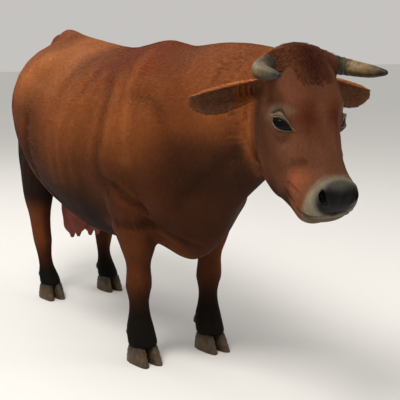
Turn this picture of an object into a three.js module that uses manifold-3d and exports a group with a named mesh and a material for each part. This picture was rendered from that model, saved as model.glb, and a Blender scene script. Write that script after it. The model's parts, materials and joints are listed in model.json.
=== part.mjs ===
// A domestic cow standing square, life size, in millimetres. It faces -Y, its left side is +X and +Z is up.
// Each part of the body is its own closed solid, a hair's breadth clear of its neighbours.
import * as THREE from "three";
import { mergeVertices } from "three/addons/utils/BufferGeometryUtils.js";
import Module from "manifold-3d";

const wasm = await Module();
wasm.setup();

// ---------------------------------------------------------------- driving dimensions
// "ahead" is measured towards the nose from a line across the barrel, and moves to the middle of the
// animal's length at the end.

const GAP = 0.3; // clearance between solids that meet
const WITHERS = 1320; // height of the back over the shoulders
const BARREL = 372; // half width of the belly
const FORE_AHEAD = 563; // where the front feet stand
const HIND_AHEAD = -520; // where the hind feet stand
const STANCE = 163; // half the distance between the left and right feet
const KNEE = 335; // height of the knee joint
const HOCK = 350; // height of the hock joint
const CORONET = 74; // height of the hair line above the claws
const POLL_AHEAD = 1435; // top of the head
const POLL_HEIGHT = 1310;
const FACE_ANGLE = THREE.MathUtils.degToRad(65.7); // how steeply the face slopes down
const EYE_RADIUS = 30;
const EYE_DOWN = 243; // distance of the eye down the face from the poll
const EYE_OUT = -69; // and behind the plane of the face
const EYE_SIDE = 102; // and to the side
const TAIL_SIDE = -80; // the tail's end hangs a little to the right

// ---------------------------------------------------------------- shaping tools

/** The point to the left, ahead and up by the given distances. */
const at = (left, ahead, up) => new THREE.Vector3(left, -ahead, up);

/** Reads a list of stations as smooth curves, one for each field, and spreads count stations evenly. */
function smooth(stations, count) {
  const keys = Object.keys(stations[0]);
  const last = stations.length - 1;
  return Array.from({ length: count }, (_, i) => {
    const u = (i / (count - 1)) * last;
    const k = Math.min(Math.floor(u), last - 1);
    const t = u - k;
    const near = [k - 1, k, k + 1, k + 2].map((j) => THREE.MathUtils.clamp(j, 0, last));
    const [a, b, c, d] = near.map((j) => stations[j]);
    const made = {};
    for (const key of keys) {
      const [tangent, bend, twist] = [
        c[key] - a[key],
        2 * a[key] - 5 * b[key] + 4 * c[key] - d[key],
        3 * b[key] - a[key] - 3 * c[key] + d[key],
      ];
      made[key] = b[key] + 0.5 * t * (tangent + t * (bend + t * twist));
    }
    return made;
  });
}

/** A point on a rounded outline, from -1 to 1 both ways. Power 2 is an ellipse, more is squarer. */
function rounded(angle, power) {
  const bend = (v) => Math.sign(v) * Math.abs(v) ** (2 / power);
  return [bend(Math.cos(angle)), bend(Math.sin(angle))];
}

/** The middle of a ring of points. */
const middleOf = (ring) =>
  ring.reduce((sum, p) => sum.add(p), new THREE.Vector3()).divideScalar(ring.length);

/** The volume that a triangle list encloses, below zero where its faces point inwards. */
function volumeOf(points, index) {
  let sum = 0;
  const normal = new THREE.Vector3();
  for (let i = 0; i < index.length; i += 3) {
    sum += normal.crossVectors(points[index[i]], points[index[i + 1]]).dot(points[index[i + 2]]) / 6;
  }
  return sum;
}

/** Closes a stack of rings, each a list of points in the same order, into one body that faces outwards. */
function skin(rings) {
  const sides = rings[0].length;
  const points = rings.flat();
  const index = [];
  const cap = (ring, flip) => {
    const hub = points.push(middleOf(rings[ring])) - 1;
    for (let s = 0; s < sides; s++) {
      const a = ring * sides + s;
      const b = ring * sides + ((s + 1) % sides);
      index.push(...(flip ? [b, a, hub] : [a, b, hub]));
    }
  };
  for (let r = 0; r + 1 < rings.length; r++) {
    for (let s = 0; s < sides; s++) {
      const a = r * sides + s;
      const b = r * sides + ((s + 1) % sides);
      index.push(a, b, a + sides, b, b + sides, a + sides);
    }
  }
  cap(0, true);
  cap(rings.length - 1, false);
  const geometry = new THREE.BufferGeometry().setFromPoints(points);
  geometry.setIndex(volumeOf(points, index) > 0 ? index : index.reverse());
  return geometry;
}

/** Turns a closed geometry into a solid that can be cut and joined, grown outwards all over by grow. */
function solid(geometry, grow = 0) {
  const bare = geometry.clone();
  bare.deleteAttribute("normal");
  bare.deleteAttribute("uv");
  const merged = mergeVertices(bare, 1e-3);
  merged.computeVertexNormals();
  const { position, normal } = merged.attributes;
  for (let i = 0; i < position.array.length; i++) position.array[i] += grow * normal.array[i];
  const triVerts = new Uint32Array(merged.index.array);
  return new wasm.Manifold(new wasm.Mesh({ numProp: 3, vertProperties: position.array, triVerts }));
}

/** The bodies of a cut solid, largest first. */
const bodies = (made) => made.decompose().sort((a, b) => b.volume() - a.volume());

/** The solid less each of the others, as one body. */
const less = (made, ...others) => bodies(others.reduce((left, other) => left.subtract(other), made))[0];

/** The solid seen in a mirror across the middle of the animal. */
const mirrored = (made) => made.mirror([1, 0, 0]);

/** Parts a solid by a thin cut through a place, square to a direction. Gives the side ahead of it first. */
function part(made, place, direction) {
  const reach = 4000; // past the ends of any piece
  const knife = new THREE.BoxGeometry(reach, reach, GAP);
  const turn = new THREE.Quaternion().setFromUnitVectors(at(0, 0, 1), direction.clone().normalize());
  knife.applyQuaternion(turn).translate(place.x, place.y, place.z);
  const along = (body) => {
    const { min, max } = body.boundingBox();
    const middle = new THREE.Vector3(...min).add(new THREE.Vector3(...max)).multiplyScalar(0.5);
    return middle.sub(place).dot(direction);
  };
  const sides = bodies(made.subtract(solid(knife))).slice(0, 2);
  return sides.sort((a, b) => along(b) - along(a));
}

/** A solid as a three.js geometry. */
function geometryOf(made) {
  const mesh = made.getMesh();
  const points = new Float32Array(mesh.numVert * 3);
  for (let i = 0; i < mesh.numVert; i++) {
    points.set(mesh.vertProperties.subarray(i * mesh.numProp, i * mesh.numProp + 3), i * 3);
  }
  const geometry = new THREE.BufferGeometry();
  geometry.setAttribute("position", new THREE.BufferAttribute(points, 3));
  geometry.setIndex(new THREE.BufferAttribute(mesh.triVerts, 1));
  geometry.computeVertexNormals();
  return geometry;
}

/** Pushes a surface out, or in where out is negative, round each form's place, on both sides. */
function swell(rings, forms) {
  for (const ring of rings) {
    const middle = middleOf(ring);
    for (const p of ring) {
      const away = p.clone().sub(middle).normalize();
      let push = 0;
      for (const { left, ahead, up, along, tall, out } of forms) {
        const [x, y, z] = [(Math.abs(p.x) - left) / along, (-p.y - ahead) / along, (p.z - up) / tall];
        push += out * Math.exp(-(x * x + y * y + z * z));
      }
      p.addScaledVector(away, push);
    }
  }
  return rings;
}

/** A tapering form along a curve through the given places, with a radius at each of them. */
function taper(places, radii, count, sides, grow = 0) {
  const curve = new THREE.CatmullRomCurve3(places, false, "centripetal");
  const frames = curve.computeFrenetFrames(count - 1, false);
  const stations = smooth(radii.map((radius) => ({ radius })), count);
  const rings = stations.map(({ radius }, i) => {
    const middle = curve.getPointAt(i / (count - 1));
    return Array.from({ length: sides }, (_, j) => {
      const angle = (2 * Math.PI * j) / sides;
      return middle
        .clone()
        .addScaledVector(frames.normals[i], Math.cos(angle) * radius)
        .addScaledVector(frames.binormals[i], Math.sin(angle) * radius);
    });
  });
  return solid(skin(rings), grow);
}

// ---------------------------------------------------------------- trunk and neck

const SPINE_WIDTH = 44; // how far the ridge of the spine spreads to each side

// At each station: top and low are the back and the underline, wide the half width, mid the height where
// it is widest, spine the height of the ridge over the round of the back. Powers set how square it is.
const TORSO = [
  { ahead: -806, top: 1150, low: 930, wide: 70, mid: 1045, spine: 0, upper: 2, lower: 2 },
  { ahead: -790, top: 1212, low: 830, wide: 160, mid: 1030, spine: 8, upper: 2, lower: 2 },
  { ahead: -740, top: 1272, low: 720, wide: 240, mid: 1015, spine: 38, upper: 1.9, lower: 1.9 },
  { ahead: -640, top: 1306, low: 640, wide: 296, mid: 1000, spine: 58, upper: 1.95, lower: 1.9 },
  { ahead: -500, top: 1308, low: 590, wide: 344, mid: 966, spine: 50, upper: 2, lower: 2 },
  { ahead: -340, top: 1306, low: 540, wide: 370, mid: 925, spine: 33, upper: 2.05, lower: 2.1 },
  { ahead: -140, top: 1298, low: 492, wide: BARREL, mid: 880, spine: 17, upper: 2.1, lower: 2.2 },
  { ahead: 80, top: 1285, low: 450, wide: BARREL, mid: 855, spine: 8, upper: 2.1, lower: 2.3 },
  { ahead: 250, top: 1283, low: 438, wide: 354, mid: 855, spine: 10, upper: 2, lower: 2.2 },
  { ahead: 400, top: 1290, low: 458, wide: 322, mid: 865, spine: 22, upper: 1.9, lower: 1.9 },
  { ahead: 530, top: WITHERS - 28, low: 452, wide: 290, mid: 865, spine: 28, upper: 1.8, lower: 1.6 },
  { ahead: 640, top: WITHERS - 32, low: 438, wide: 264, mid: 855, spine: 20, upper: 1.8, lower: 1.55 },
  { ahead: 730, top: 1292, low: 442, wide: 240, mid: 845, spine: 10, upper: 1.8, lower: 1.7 },
  { ahead: 810, top: 1302, low: 492, wide: 208, mid: 880, spine: 6, upper: 1.8, lower: 1.8 },
  { ahead: 880, top: 1312, low: 562, wide: 180, mid: 930, spine: 2, upper: 1.8, lower: 1.8 },
  { ahead: 950, top: 1318, low: 640, wide: 160, mid: 975, spine: 0, upper: 1.8, lower: 1.8 },
  { ahead: 1030, top: 1318, low: 715, wide: 146, mid: 1015, spine: 0, upper: 1.8, lower: 1.8 },
  { ahead: 1120, top: 1316, low: 782, wide: 136, mid: 1050, spine: 0, upper: 1.8, lower: 2 },
  { ahead: 1210, top: 1308, low: 842, wide: 126, mid: 1075, spine: 0, upper: 1.9, lower: 2 },
  { ahead: 1300, top: 1296, low: 884, wide: 112, mid: 1090, spine: 0, upper: 2, lower: 2 },
  { ahead: 1370, top: 1270, low: 940, wide: 92, mid: 1100, spine: 0, upper: 2, lower: 2 },
];

const TORSO_FORMS = [
  { left: 290, ahead: 500, up: 930, along: 130, tall: 240, out: 20 }, // shoulder blade
  { left: 190, ahead: 765, up: 680, along: 75, tall: 80, out: 16 }, // point of the shoulder
  { left: 230, ahead: -330, up: 1220, along: 75, tall: 70, out: 14 }, // hook of the hip
  { left: 120, ahead: -780, up: 1170, along: 60, tall: 55, out: 14 }, // pin bone
  { left: 250, ahead: -200, up: 1170, along: 90, tall: 80, out: -14 }, // hollow of the flank
];

function torso(grow = 0) {
  const sides = 24;
  const rings = smooth(TORSO, 31).map(({ ahead, top, low, wide, mid, spine, upper, lower }) =>
    Array.from({ length: sides }, (_, i) => {
      const angle = (2 * Math.PI * i) / sides + Math.PI / 2; // the first point is on the spine
      const above = Math.sin(angle) > 0;
      const [side, rise] = rounded(angle, above ? upper : lower);
      const left = side * wide;
      const ridge = above ? spine * Math.exp(-((left / SPINE_WIDTH) ** 2)) : 0;
      return at(left, ahead, mid + rise * (above ? top - mid : mid - low) + ridge);
    })
  );
  return solid(skin(swell(rings, TORSO_FORMS)), grow);
}

// ---------------------------------------------------------------- head

/** A point of the head: to the side, down the face from the poll, and out in front of the face's plane. */
function onHead(side, down, out) {
  const cos = Math.cos(FACE_ANGLE);
  const sin = Math.sin(FACE_ANGLE);
  return at(side, POLL_AHEAD + down * cos + out * sin, POLL_HEIGHT - down * sin + out * cos);
}

// down is the distance from the poll. front and back are how far the face and the jaw stand from the plane
// of the face, mid is where the head is widest between them.
const HEAD = [
  { down: -22, front: -45, back: -90, wide: 54, mid: -66, brow: 2.2, jaw: 2 },
  { down: 0, front: -10, back: -150, wide: 100, mid: -58, brow: 2.3, jaw: 2 },
  { down: 50, front: 16, back: -225, wide: 119, mid: -62, brow: 2.5, jaw: 2.2 },
  { down: 115, front: 26, back: -275, wide: 124, mid: -72, brow: 2.6, jaw: 2.3 },
  { down: 185, front: 24, back: -305, wide: 127, mid: -86, brow: 2.6, jaw: 2.3 },
  { down: 245, front: 16, back: -320, wide: 116, mid: -104, brow: 2.4, jaw: 2.4 },
  { down: 310, front: 8, back: -328, wide: 104, mid: -118, brow: 2.3, jaw: 2.4 },
  { down: 375, front: 4, back: -311, wide: 97, mid: -112, brow: 2.2, jaw: 2.4 },
  { down: 435, front: 6, back: -264, wide: 97, mid: -96, brow: 2.3, jaw: 2.4 },
  { down: 485, front: 14, back: -204, wide: 104, mid: -84, brow: 2.5, jaw: 2.3 },
  { down: 522, front: -2, back: -174, wide: 102, mid: -82, brow: 2.6, jaw: 2.2 },
  { down: 545, front: -34, back: -158, wide: 86, mid: -92, brow: 2.5, jaw: 2.1 },
  { down: 558, front: -72, back: -136, wide: 52, mid: -102, brow: 2.2, jaw: 2 },
];

const HEAD_FORMS = [
  { left: 112, ahead: 1470, up: 1098, along: 42, tall: 34, out: 9 }, // brow over the eye
  { left: 90, ahead: 1400, up: 960, along: 80, tall: 90, out: 10 }, // cheek
  { left: 88, ahead: 1560, up: 930, along: 40, tall: 40, out: -5 }, // hollow before the cheek
];

function head(grow = 0) {
  const sides = 20;
  const rings = smooth(HEAD, 22).map(({ down, front, back, wide, mid, brow, jaw }) =>
    Array.from({ length: sides }, (_, i) => {
      const angle = (2 * Math.PI * i) / sides + Math.PI / 2; // the first point is on the bridge of the nose
      const face = Math.sin(angle) > 0;
      const [side, rise] = rounded(angle, face ? brow : jaw);
      return onHead(side * wide, down, mid + rise * (face ? front - mid : mid - back));
    })
  );
  return solid(skin(swell(rings, HEAD_FORMS)), grow);
}

function horn(grow = 0) {
  const places = [
    at(60, 1414, 1250),
    at(112, 1420, 1246),
    at(156, 1430, 1239),
    at(186, 1460, 1231),
    at(200, 1520, 1224),
    at(206, 1600, 1221),
  ];
  return taper(places, [35, 34, 30, 26, 21, 9], 11, 10, grow);
}

function eye(grow = 0) {
  const { x, y, z } = onHead(EYE_SIDE, EYE_DOWN, EYE_OUT);
  return solid(new THREE.SphereGeometry(EYE_RADIUS, 12, 9).translate(x, y, z), grow);
}

// Along the ear: high and deep are how far its edges stand above and below its middle line.
const EAR = [
  { left: 92, ahead: 1392, up: 1172, high: 30, deep: 32, cup: 34, thick: 34 },
  { left: 132, ahead: 1382, up: 1170, high: 33, deep: 36, cup: 34, thick: 20 },
  { left: 188, ahead: 1368, up: 1160, high: 35, deep: 47, cup: 26, thick: 10 },
  { left: 250, ahead: 1354, up: 1152, high: 31, deep: 62, cup: 18, thick: 8 },
  { left: 318, ahead: 1342, up: 1146, high: 20, deep: 57, cup: 10, thick: 7 },
  { left: 368, ahead: 1334, up: 1142, high: 6, deep: 22, cup: 2, thick: 6 },
];

/** The ear: a cupped leaf that reaches out sideways, its hollow turned to the front. */
function ear() {
  const steps = 6;
  const open = at(0.14, 0.97, -0.16).normalize(); // the way the hollow faces
  const rise = at(0.05, 0.16, 0.98).normalize(); // from the lower edge to the upper
  const rings = smooth(EAR, 10).map(({ left, ahead, up, high, deep, cup, thick }) =>
    Array.from({ length: 2 * steps }, (_, i) => {
      const inner = i >= steps; // first along the back of the ear, then back along its hollow
      const v = ((inner ? 2 * steps - 1 - i : i) / (steps - 1)) * 2 - 1;
      const depth = cup * (1 - v * v) + (inner ? -thick / 2 : thick / 2);
      return at(left, ahead, up)
        .addScaledVector(rise, v * (v > 0 ? high : deep) * (inner ? 0.96 : 1))
        .addScaledVector(open, -depth);
    })
  );
  return solid(skin(rings));
}

// ---------------------------------------------------------------- legs

// wide is the half width of the leg, fore and aft its reach ahead of its middle line and behind it.
const FORELEG = [
  { left: 185, ahead: FORE_AHEAD - 30, up: 840, wide: 50, fore: 100, aft: 100 },
  { left: 187, ahead: FORE_AHEAD - 28, up: 700, wide: 102, fore: 145, aft: 145 },
  { left: 179, ahead: FORE_AHEAD - 20, up: 590, wide: 96, fore: 122, aft: 122 },
  { left: 172, ahead: FORE_AHEAD - 14, up: 495, wide: 78, fore: 92, aft: 88 },
  { left: 170, ahead: FORE_AHEAD - 14, up: 415, wide: 54, fore: 54, aft: 54 },
  { left: 168, ahead: FORE_AHEAD - 16, up: KNEE + 22, wide: 57, fore: 60, aft: 52 },
  { left: 168, ahead: FORE_AHEAD - 18, up: KNEE - 22, wide: 57, fore: 56, aft: 57 },
  { left: 166, ahead: FORE_AHEAD - 18, up: 258, wide: 43, fore: 41, aft: 46 },
  { left: 165, ahead: FORE_AHEAD - 17, up: 200, wide: 46, fore: 43, aft: 48 },
  { left: 164, ahead: FORE_AHEAD - 15, up: 145, wide: 58, fore: 56, aft: 62 },
  { left: STANCE, ahead: FORE_AHEAD - 7, up: 108, wide: 62, fore: 64, aft: 62 },
  { left: STANCE, ahead: FORE_AHEAD + 4, up: CORONET, wide: 63, fore: 70, aft: 56 },
];

const HINDLEG = [
  { left: 190, ahead: HIND_AHEAD - 60, up: 900, wide: 84, fore: 180, aft: 170 },
  { left: 188, ahead: HIND_AHEAD - 60, up: 750, wide: 92, fore: 190, aft: 155 },
  { left: 190, ahead: HIND_AHEAD - 60, up: 620, wide: 86, fore: 145, aft: 124 },
  { left: 193, ahead: HIND_AHEAD - 62, up: 515, wide: 72, fore: 108, aft: 106 },
  { left: 186, ahead: HIND_AHEAD - 70, up: 430, wide: 57, fore: 76, aft: 74 },
  { left: 177, ahead: HIND_AHEAD - 80, up: HOCK, wide: 51, fore: 68, aft: 68 },
  { left: 173, ahead: HIND_AHEAD - 74, up: HOCK - 60, wide: 48, fore: 64, aft: 58 },
  { left: 168, ahead: HIND_AHEAD - 66, up: 220, wide: 38, fore: 40, aft: 42 },
  { left: 166, ahead: HIND_AHEAD - 50, up: 165, wide: 37, fore: 38, aft: 40 },
  { left: 164, ahead: HIND_AHEAD - 32, up: 122, wide: 48, fore: 48, aft: 54 },
  { left: STANCE, ahead: HIND_AHEAD - 14, up: 95, wide: 53, fore: 54, aft: 54 },
  { left: STANCE, ahead: HIND_AHEAD, up: CORONET, wide: 55, fore: 60, aft: 52 },
];

function leg(stations, grow = 0) {
  const sides = 12;
  const rings = smooth(stations, 21).map(({ left, ahead, up, wide, fore, aft }) =>
    Array.from({ length: sides }, (_, i) => {
      const angle = (2 * Math.PI * i) / sides;
      const forward = Math.cos(angle);
      return at(left + Math.sin(angle) * wide, ahead + forward * (forward > 0 ? fore : aft), up);
    })
  );
  return solid(skin(rings), grow);
}

const CLAW = { toe: 102, heel: 60, wide: 68, cleft: 2.5 }; // reach forward, back, outwards and to the cleft
const DEWCLAW_UP = 124; // where the dewclaws leave the fetlock

/** One claw: a flat sole, an upright inner wall, a flared outer wall and a toe that slopes forward. */
function claw(side, ahead, size) {
  const { toe, heel, wide, cleft } = CLAW;
  const worn = 3; // the sole's edge is rounded under
  const tuck = 14; // the toe narrows
  const corners = 12;
  const rings = [0, 8, 40, CORONET - GAP].map((up) => {
    const rise = up / CORONET;
    const half = ((wide - 8 * rise - (up === 0 ? worn : 0)) * size - cleft) / 2;
    return Array.from({ length: corners }, (_, i) => {
      const [forward, lateral] = rounded((2 * Math.PI * i) / corners, 2.5);
      const narrow = tuck * size * Math.max(0, forward) * Math.max(0, lateral);
      const reach = (forward > 0 ? toe - 48 * rise : heel - 8 * rise) * size;
      return at(STANCE + side * (cleft + half * (1 + lateral) - narrow), ahead + forward * reach, up);
    });
  });
  return solid(skin(rings));
}

/** A dewclaw: a small horn behind the fetlock that points down. */
function dewclaw(side, ahead) {
  const places = [
    at(STANCE + side * 24, ahead + 20, DEWCLAW_UP),
    at(STANCE + side * 27, ahead, DEWCLAW_UP - 11),
    at(STANCE + side * 29, ahead - 8, DEWCLAW_UP - 32),
  ];
  return taper(places, [17, 15, 7], 3, 6);
}

// ---------------------------------------------------------------- udder and tail

const QUARTERS = [
  { place: "hind", left: 50, ahead: -484, low: 326, tall: 165, wide: 56, long: 66 },
  { place: "fore", left: 52, ahead: -394, low: 350, tall: 150, wide: 60, long: 76 },
];

function quarter({ left, ahead, low, tall, wide, long }, grow = 0) {
  const ball = new THREE.SphereGeometry(1, 11, 7).scale(wide, long, tall);
  return solid(ball.translate(left, -ahead, low + tall), grow);
}

/** A short teat under a quarter of the udder. */
function teat({ left, ahead, low }) {
  const places = [12, -6, -18].map((up) => at(left, ahead, low + up));
  return taper(places, [13, 12, 7], 3, 6);
}

// Down the tail from its root: where its middle lies and how thick it is. The switch starts at SWITCH_TOP.
const SWITCH_TOP = 575;
const TAIL = [
  { left: 0, ahead: -690, up: 1315, radius: 36 },
  { left: 0, ahead: -762, up: 1285, radius: 38 },
  { left: 0, ahead: -806, up: 1225, radius: 32 },
  { left: -6, ahead: -828, up: 1130, radius: 25 },
  { left: -22, ahead: -838, up: 990, radius: 20 },
  { left: -46, ahead: -840, up: 830, radius: 17 },
  { left: -66, ahead: -838, up: 700, radius: 15 },
  { left: TAIL_SIDE, ahead: -836, up: SWITCH_TOP, radius: 17 },
  { left: TAIL_SIDE - 2, ahead: -836, up: 480, radius: 33 },
  { left: TAIL_SIDE - 2, ahead: -835, up: 400, radius: 25 },
  { left: TAIL_SIDE, ahead: -834, up: 340, radius: 8 },
];

function wholeTail() {
  const places = TAIL.map(({ left, ahead, up }) => at(left, ahead, up));
  return taper(places, TAIL.map(({ radius }) => radius), 22, 8);
}

// ---------------------------------------------------------------- assembly

const finishes = {
  coat: new THREE.MeshStandardMaterial({ color: 0x7a4326, roughness: 0.75 }),
  stocking: new THREE.MeshStandardMaterial({ color: 0x1d1712, roughness: 0.8 }),
  udder: new THREE.MeshStandardMaterial({ color: 0x8a5148, roughness: 0.6 }),
  horn: new THREE.MeshStandardMaterial({ color: 0x6f6450, roughness: 0.5 }),
  hoof: new THREE.MeshStandardMaterial({ color: 0x6a5c4c, roughness: 0.55 }),
  eye: new THREE.MeshStandardMaterial({ color: 0x120c0a, roughness: 0.1 }),
};

const cow = new THREE.Group();

function add(name, made, finish) {
  const mesh = new THREE.Mesh(geometryOf(made), finishes[finish].clone());
  mesh.name = name;
  cow.add(mesh);
}

/** Adds a left piece and its mirror image, each cut back from the neighbours that it grows out of. */
function addPair(name, made, finish, neighbours = []) {
  add(`${name}_left`, less(made, ...neighbours), finish);
  add(`${name}_right`, less(mirrored(made), ...neighbours), finish);
}

const torsoGrown = torso(GAP);
const headGrown = head(GAP);
const eyeGrown = eye(GAP);

const [neck, trunk] = part(torso(), at(0, 790, 900), at(0, 0.9, -0.3));
add("trunk", trunk, "coat");
add("neck", less(neck, headGrown), "coat");
add("head", less(head(), eyeGrown, mirrored(eyeGrown)), "coat");
addPair("eye", eye(), "eye");
addPair("horn", horn(), "horn", [headGrown, torsoGrown]);
addPair("ear", ear(), "coat", [headGrown, torsoGrown]);

for (const [place, stations, joint, stand, size] of [
  ["front", FORELEG, KNEE, FORE_AHEAD + 10, 1],
  ["hind", HINDLEG, HOCK - 30, HIND_AHEAD + 8, 0.94],
]) {
  const legGrown = leg(stations, GAP);
  const [upper, lower] = part(leg(stations), at(0, 0, joint), at(0, 0, 1));
  addPair(`leg_${place}_upper`, upper, "coat", [torsoGrown]);
  addPair(`leg_${place}_lower`, lower, "stocking");
  for (const [name, side] of [
    ["outer", 1],
    ["inner", -1],
  ]) {
    addPair(`claw_${place}_${name}`, claw(side, stand, size), "hoof");
    const behind = dewclaw(side, stand - 84 * size);
    addPair(`dewclaw_${place}_${name}`, behind, "hoof", [legGrown, mirrored(legGrown)]);
  }
}

const quarters = (grow) => QUARTERS.flatMap((form) => [quarter(form, grow), mirrored(quarter(form, grow))]);
const udder = quarters(0).reduce((whole, quarter) => whole.add(quarter));
const udderGrown = quarters(GAP);
add("udder", less(udder, torsoGrown), "udder");
for (const form of QUARTERS) addPair(`teat_${form.place}`, teat(form), "udder", udderGrown);

const [tail, tailSwitch] = part(wholeTail(), at(0, -836, SWITCH_TOP), at(0, 0, 1));
add("tail", less(tail, torsoGrown), "coat");
add("tail_switch", tailSwitch, "stocking");

const { min, max } = new THREE.Box3().setFromObject(cow);
cow.position.y = -(min.y + max.y) / 2; // the origin is on the floor, under the middle of the animal's length

export default cow;
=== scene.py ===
"""Dresses the frame of a standing cow: one skin over the flesh, its coat, eyes, horns and hoofs."""

import json
import logging
import math
from collections.abc import Iterator
from contextlib import contextmanager
from dataclasses import dataclass
from enum import Enum

import bpy
import numpy as np
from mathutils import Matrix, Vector
from mathutils.bvhtree import BVHTree

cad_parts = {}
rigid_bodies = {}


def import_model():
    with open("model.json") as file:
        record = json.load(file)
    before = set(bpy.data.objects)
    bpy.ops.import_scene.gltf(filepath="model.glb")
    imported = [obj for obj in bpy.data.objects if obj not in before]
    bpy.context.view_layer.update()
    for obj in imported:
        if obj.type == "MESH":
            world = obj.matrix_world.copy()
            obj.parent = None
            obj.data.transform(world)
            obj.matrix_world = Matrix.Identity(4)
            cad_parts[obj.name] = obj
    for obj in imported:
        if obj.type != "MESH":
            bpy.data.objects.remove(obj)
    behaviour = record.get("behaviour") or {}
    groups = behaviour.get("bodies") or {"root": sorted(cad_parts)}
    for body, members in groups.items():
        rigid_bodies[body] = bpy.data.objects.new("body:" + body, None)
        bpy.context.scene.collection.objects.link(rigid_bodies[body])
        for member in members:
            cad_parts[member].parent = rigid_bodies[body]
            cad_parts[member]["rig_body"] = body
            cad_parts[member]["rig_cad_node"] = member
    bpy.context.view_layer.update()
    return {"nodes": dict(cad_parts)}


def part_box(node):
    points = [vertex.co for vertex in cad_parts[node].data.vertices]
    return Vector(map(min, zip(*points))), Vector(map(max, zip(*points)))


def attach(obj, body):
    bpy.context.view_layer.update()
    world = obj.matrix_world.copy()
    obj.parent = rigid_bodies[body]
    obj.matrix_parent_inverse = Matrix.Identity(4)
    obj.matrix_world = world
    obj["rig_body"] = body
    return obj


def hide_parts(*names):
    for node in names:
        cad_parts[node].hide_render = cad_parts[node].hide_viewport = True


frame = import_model()

log = logging.getLogger("cow")
SIDES = {"left": 1.0, "right": -1.0}

Place = tuple[float, float, float]
Tone = tuple[int, int, int]
Socket = bpy.types.NodeSocket


# ------------------------------------------------------------------ arrays and meshes


def vec(*values: float) -> np.ndarray:
    """Three numbers as an array."""
    return np.array(values, float)


def unit(values: np.ndarray) -> np.ndarray:
    """Vectors made one long, along the last axis."""
    length = np.linalg.norm(values, axis=-1, keepdims=True)
    return values / np.maximum(length, 1e-12)


def ramp(values: np.ndarray, start: float, end: float) -> np.ndarray:
    """0 at start and 1 at end, with soft ends. Start may lie above end."""
    t = np.clip((values - start) / (end - start), 0, 1)
    return t * t * (3 - 2 * t)


def bell(values: np.ndarray, width: float) -> np.ndarray:
    """1 at zero, falling away over the width."""
    return np.exp(-((values / width) ** 2))


def srgb(red: int, green: int, blue: int) -> np.ndarray:
    """A colour from the usual 0 to 255 scale as linear light.

    Args:
        red: The red part.
        green: The green part.
        blue: The blue part.

    Returns:
        Three linear values from 0 to 1.
    """
    value = np.array([red, green, blue], float) / 255
    return np.where(value <= 0.04045, value / 12.92, ((value + 0.055) / 1.055) ** 2.4)


def rows(items: bpy.types.bpy_prop_collection, value: str, size: int, kind: type) -> np.ndarray:
    """Reads one value of all the vertices, edges or faces of a mesh.

    Args:
        items: The vertices, edges or faces.
        value: The value's name.
        size: How many numbers each has.
        kind: The numbers' type.

    Returns:
        One row for each item.
    """
    flat = np.empty(len(items) * size, kind)
    items.foreach_get(value, flat)
    return flat.reshape(-1, size)


def points_of(mesh: bpy.types.Mesh) -> np.ndarray:
    """The places of a mesh's vertices."""
    return rows(mesh.vertices, "co", 3, np.float32).astype(float)


def normals_of(mesh: bpy.types.Mesh) -> np.ndarray:
    """The outward directions at a mesh's vertices."""
    return rows(mesh.vertex_normals, "vector", 3, np.float32).astype(float)


def face_centres(mesh: bpy.types.Mesh) -> np.ndarray:
    """The middle of each face of a mesh."""
    return rows(mesh.polygons, "center", 3, np.float32).astype(float)


def edges_of(mesh: bpy.types.Mesh) -> np.ndarray:
    """The two vertices of each edge of a mesh."""
    return rows(mesh.edges, "vertices", 2, np.int32)


def move_points(mesh: bpy.types.Mesh, points: np.ndarray) -> None:
    """Puts a mesh's vertices at new places."""
    mesh.vertices.foreach_set("co", points.astype(np.float32).ravel())
    mesh.update()


def only(piece: bpy.types.Object) -> None:
    """Selects one object and makes it the active one."""
    bpy.ops.object.select_all(action="DESELECT")
    piece.select_set(True)
    bpy.context.view_layer.objects.active = piece


def smooth(piece: bpy.types.Object) -> None:
    """Shades a piece as one round surface."""
    only(piece)
    bpy.ops.object.shade_smooth()


def apply(piece: bpy.types.Object, kind: str, **settings: object) -> None:
    """Adds a modifier with the given settings and applies it."""
    only(piece)
    modifier = piece.modifiers.new(kind.lower(), kind)
    for name, value in settings.items():
        setattr(modifier, name, value)
    bpy.ops.object.modifier_apply(modifier=modifier.name)


@contextmanager
def editing(piece: bpy.types.Object, faces: np.ndarray | None = None) -> Iterator[None]:
    """Edit mode on a piece, with some of its faces selected.

    Args:
        piece: The piece.
        faces: Which faces are selected, or None for all.

    Yields:
        Nothing.
    """
    only(piece)
    mesh = piece.data
    bpy.context.tool_settings.mesh_select_mode = (False, False, True)
    mesh.vertices.foreach_set("select", np.zeros(len(mesh.vertices), bool))
    mesh.edges.foreach_set("select", np.zeros(len(mesh.edges), bool))
    mesh.polygons.foreach_set("select", np.zeros(len(mesh.polygons), bool) if faces is None else faces)
    bpy.ops.object.mode_set(mode="EDIT")
    if faces is None:
        bpy.ops.mesh.select_all(action="SELECT")
    yield
    bpy.ops.object.mode_set(mode="OBJECT")


def paint(mesh: bpy.types.Mesh, name: str, colours: np.ndarray) -> None:
    """Keeps a colour for each vertex of a mesh.

    Args:
        mesh: The mesh to colour.
        name: The attribute's name.
        colours: Linear red, green and blue for each vertex.
    """
    layer = mesh.color_attributes.new(name, "FLOAT_COLOR", "POINT")
    full = np.ones((len(colours), 4), np.float32)
    full[:, :3] = colours
    layer.data.foreach_set("color", full.ravel())


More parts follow.
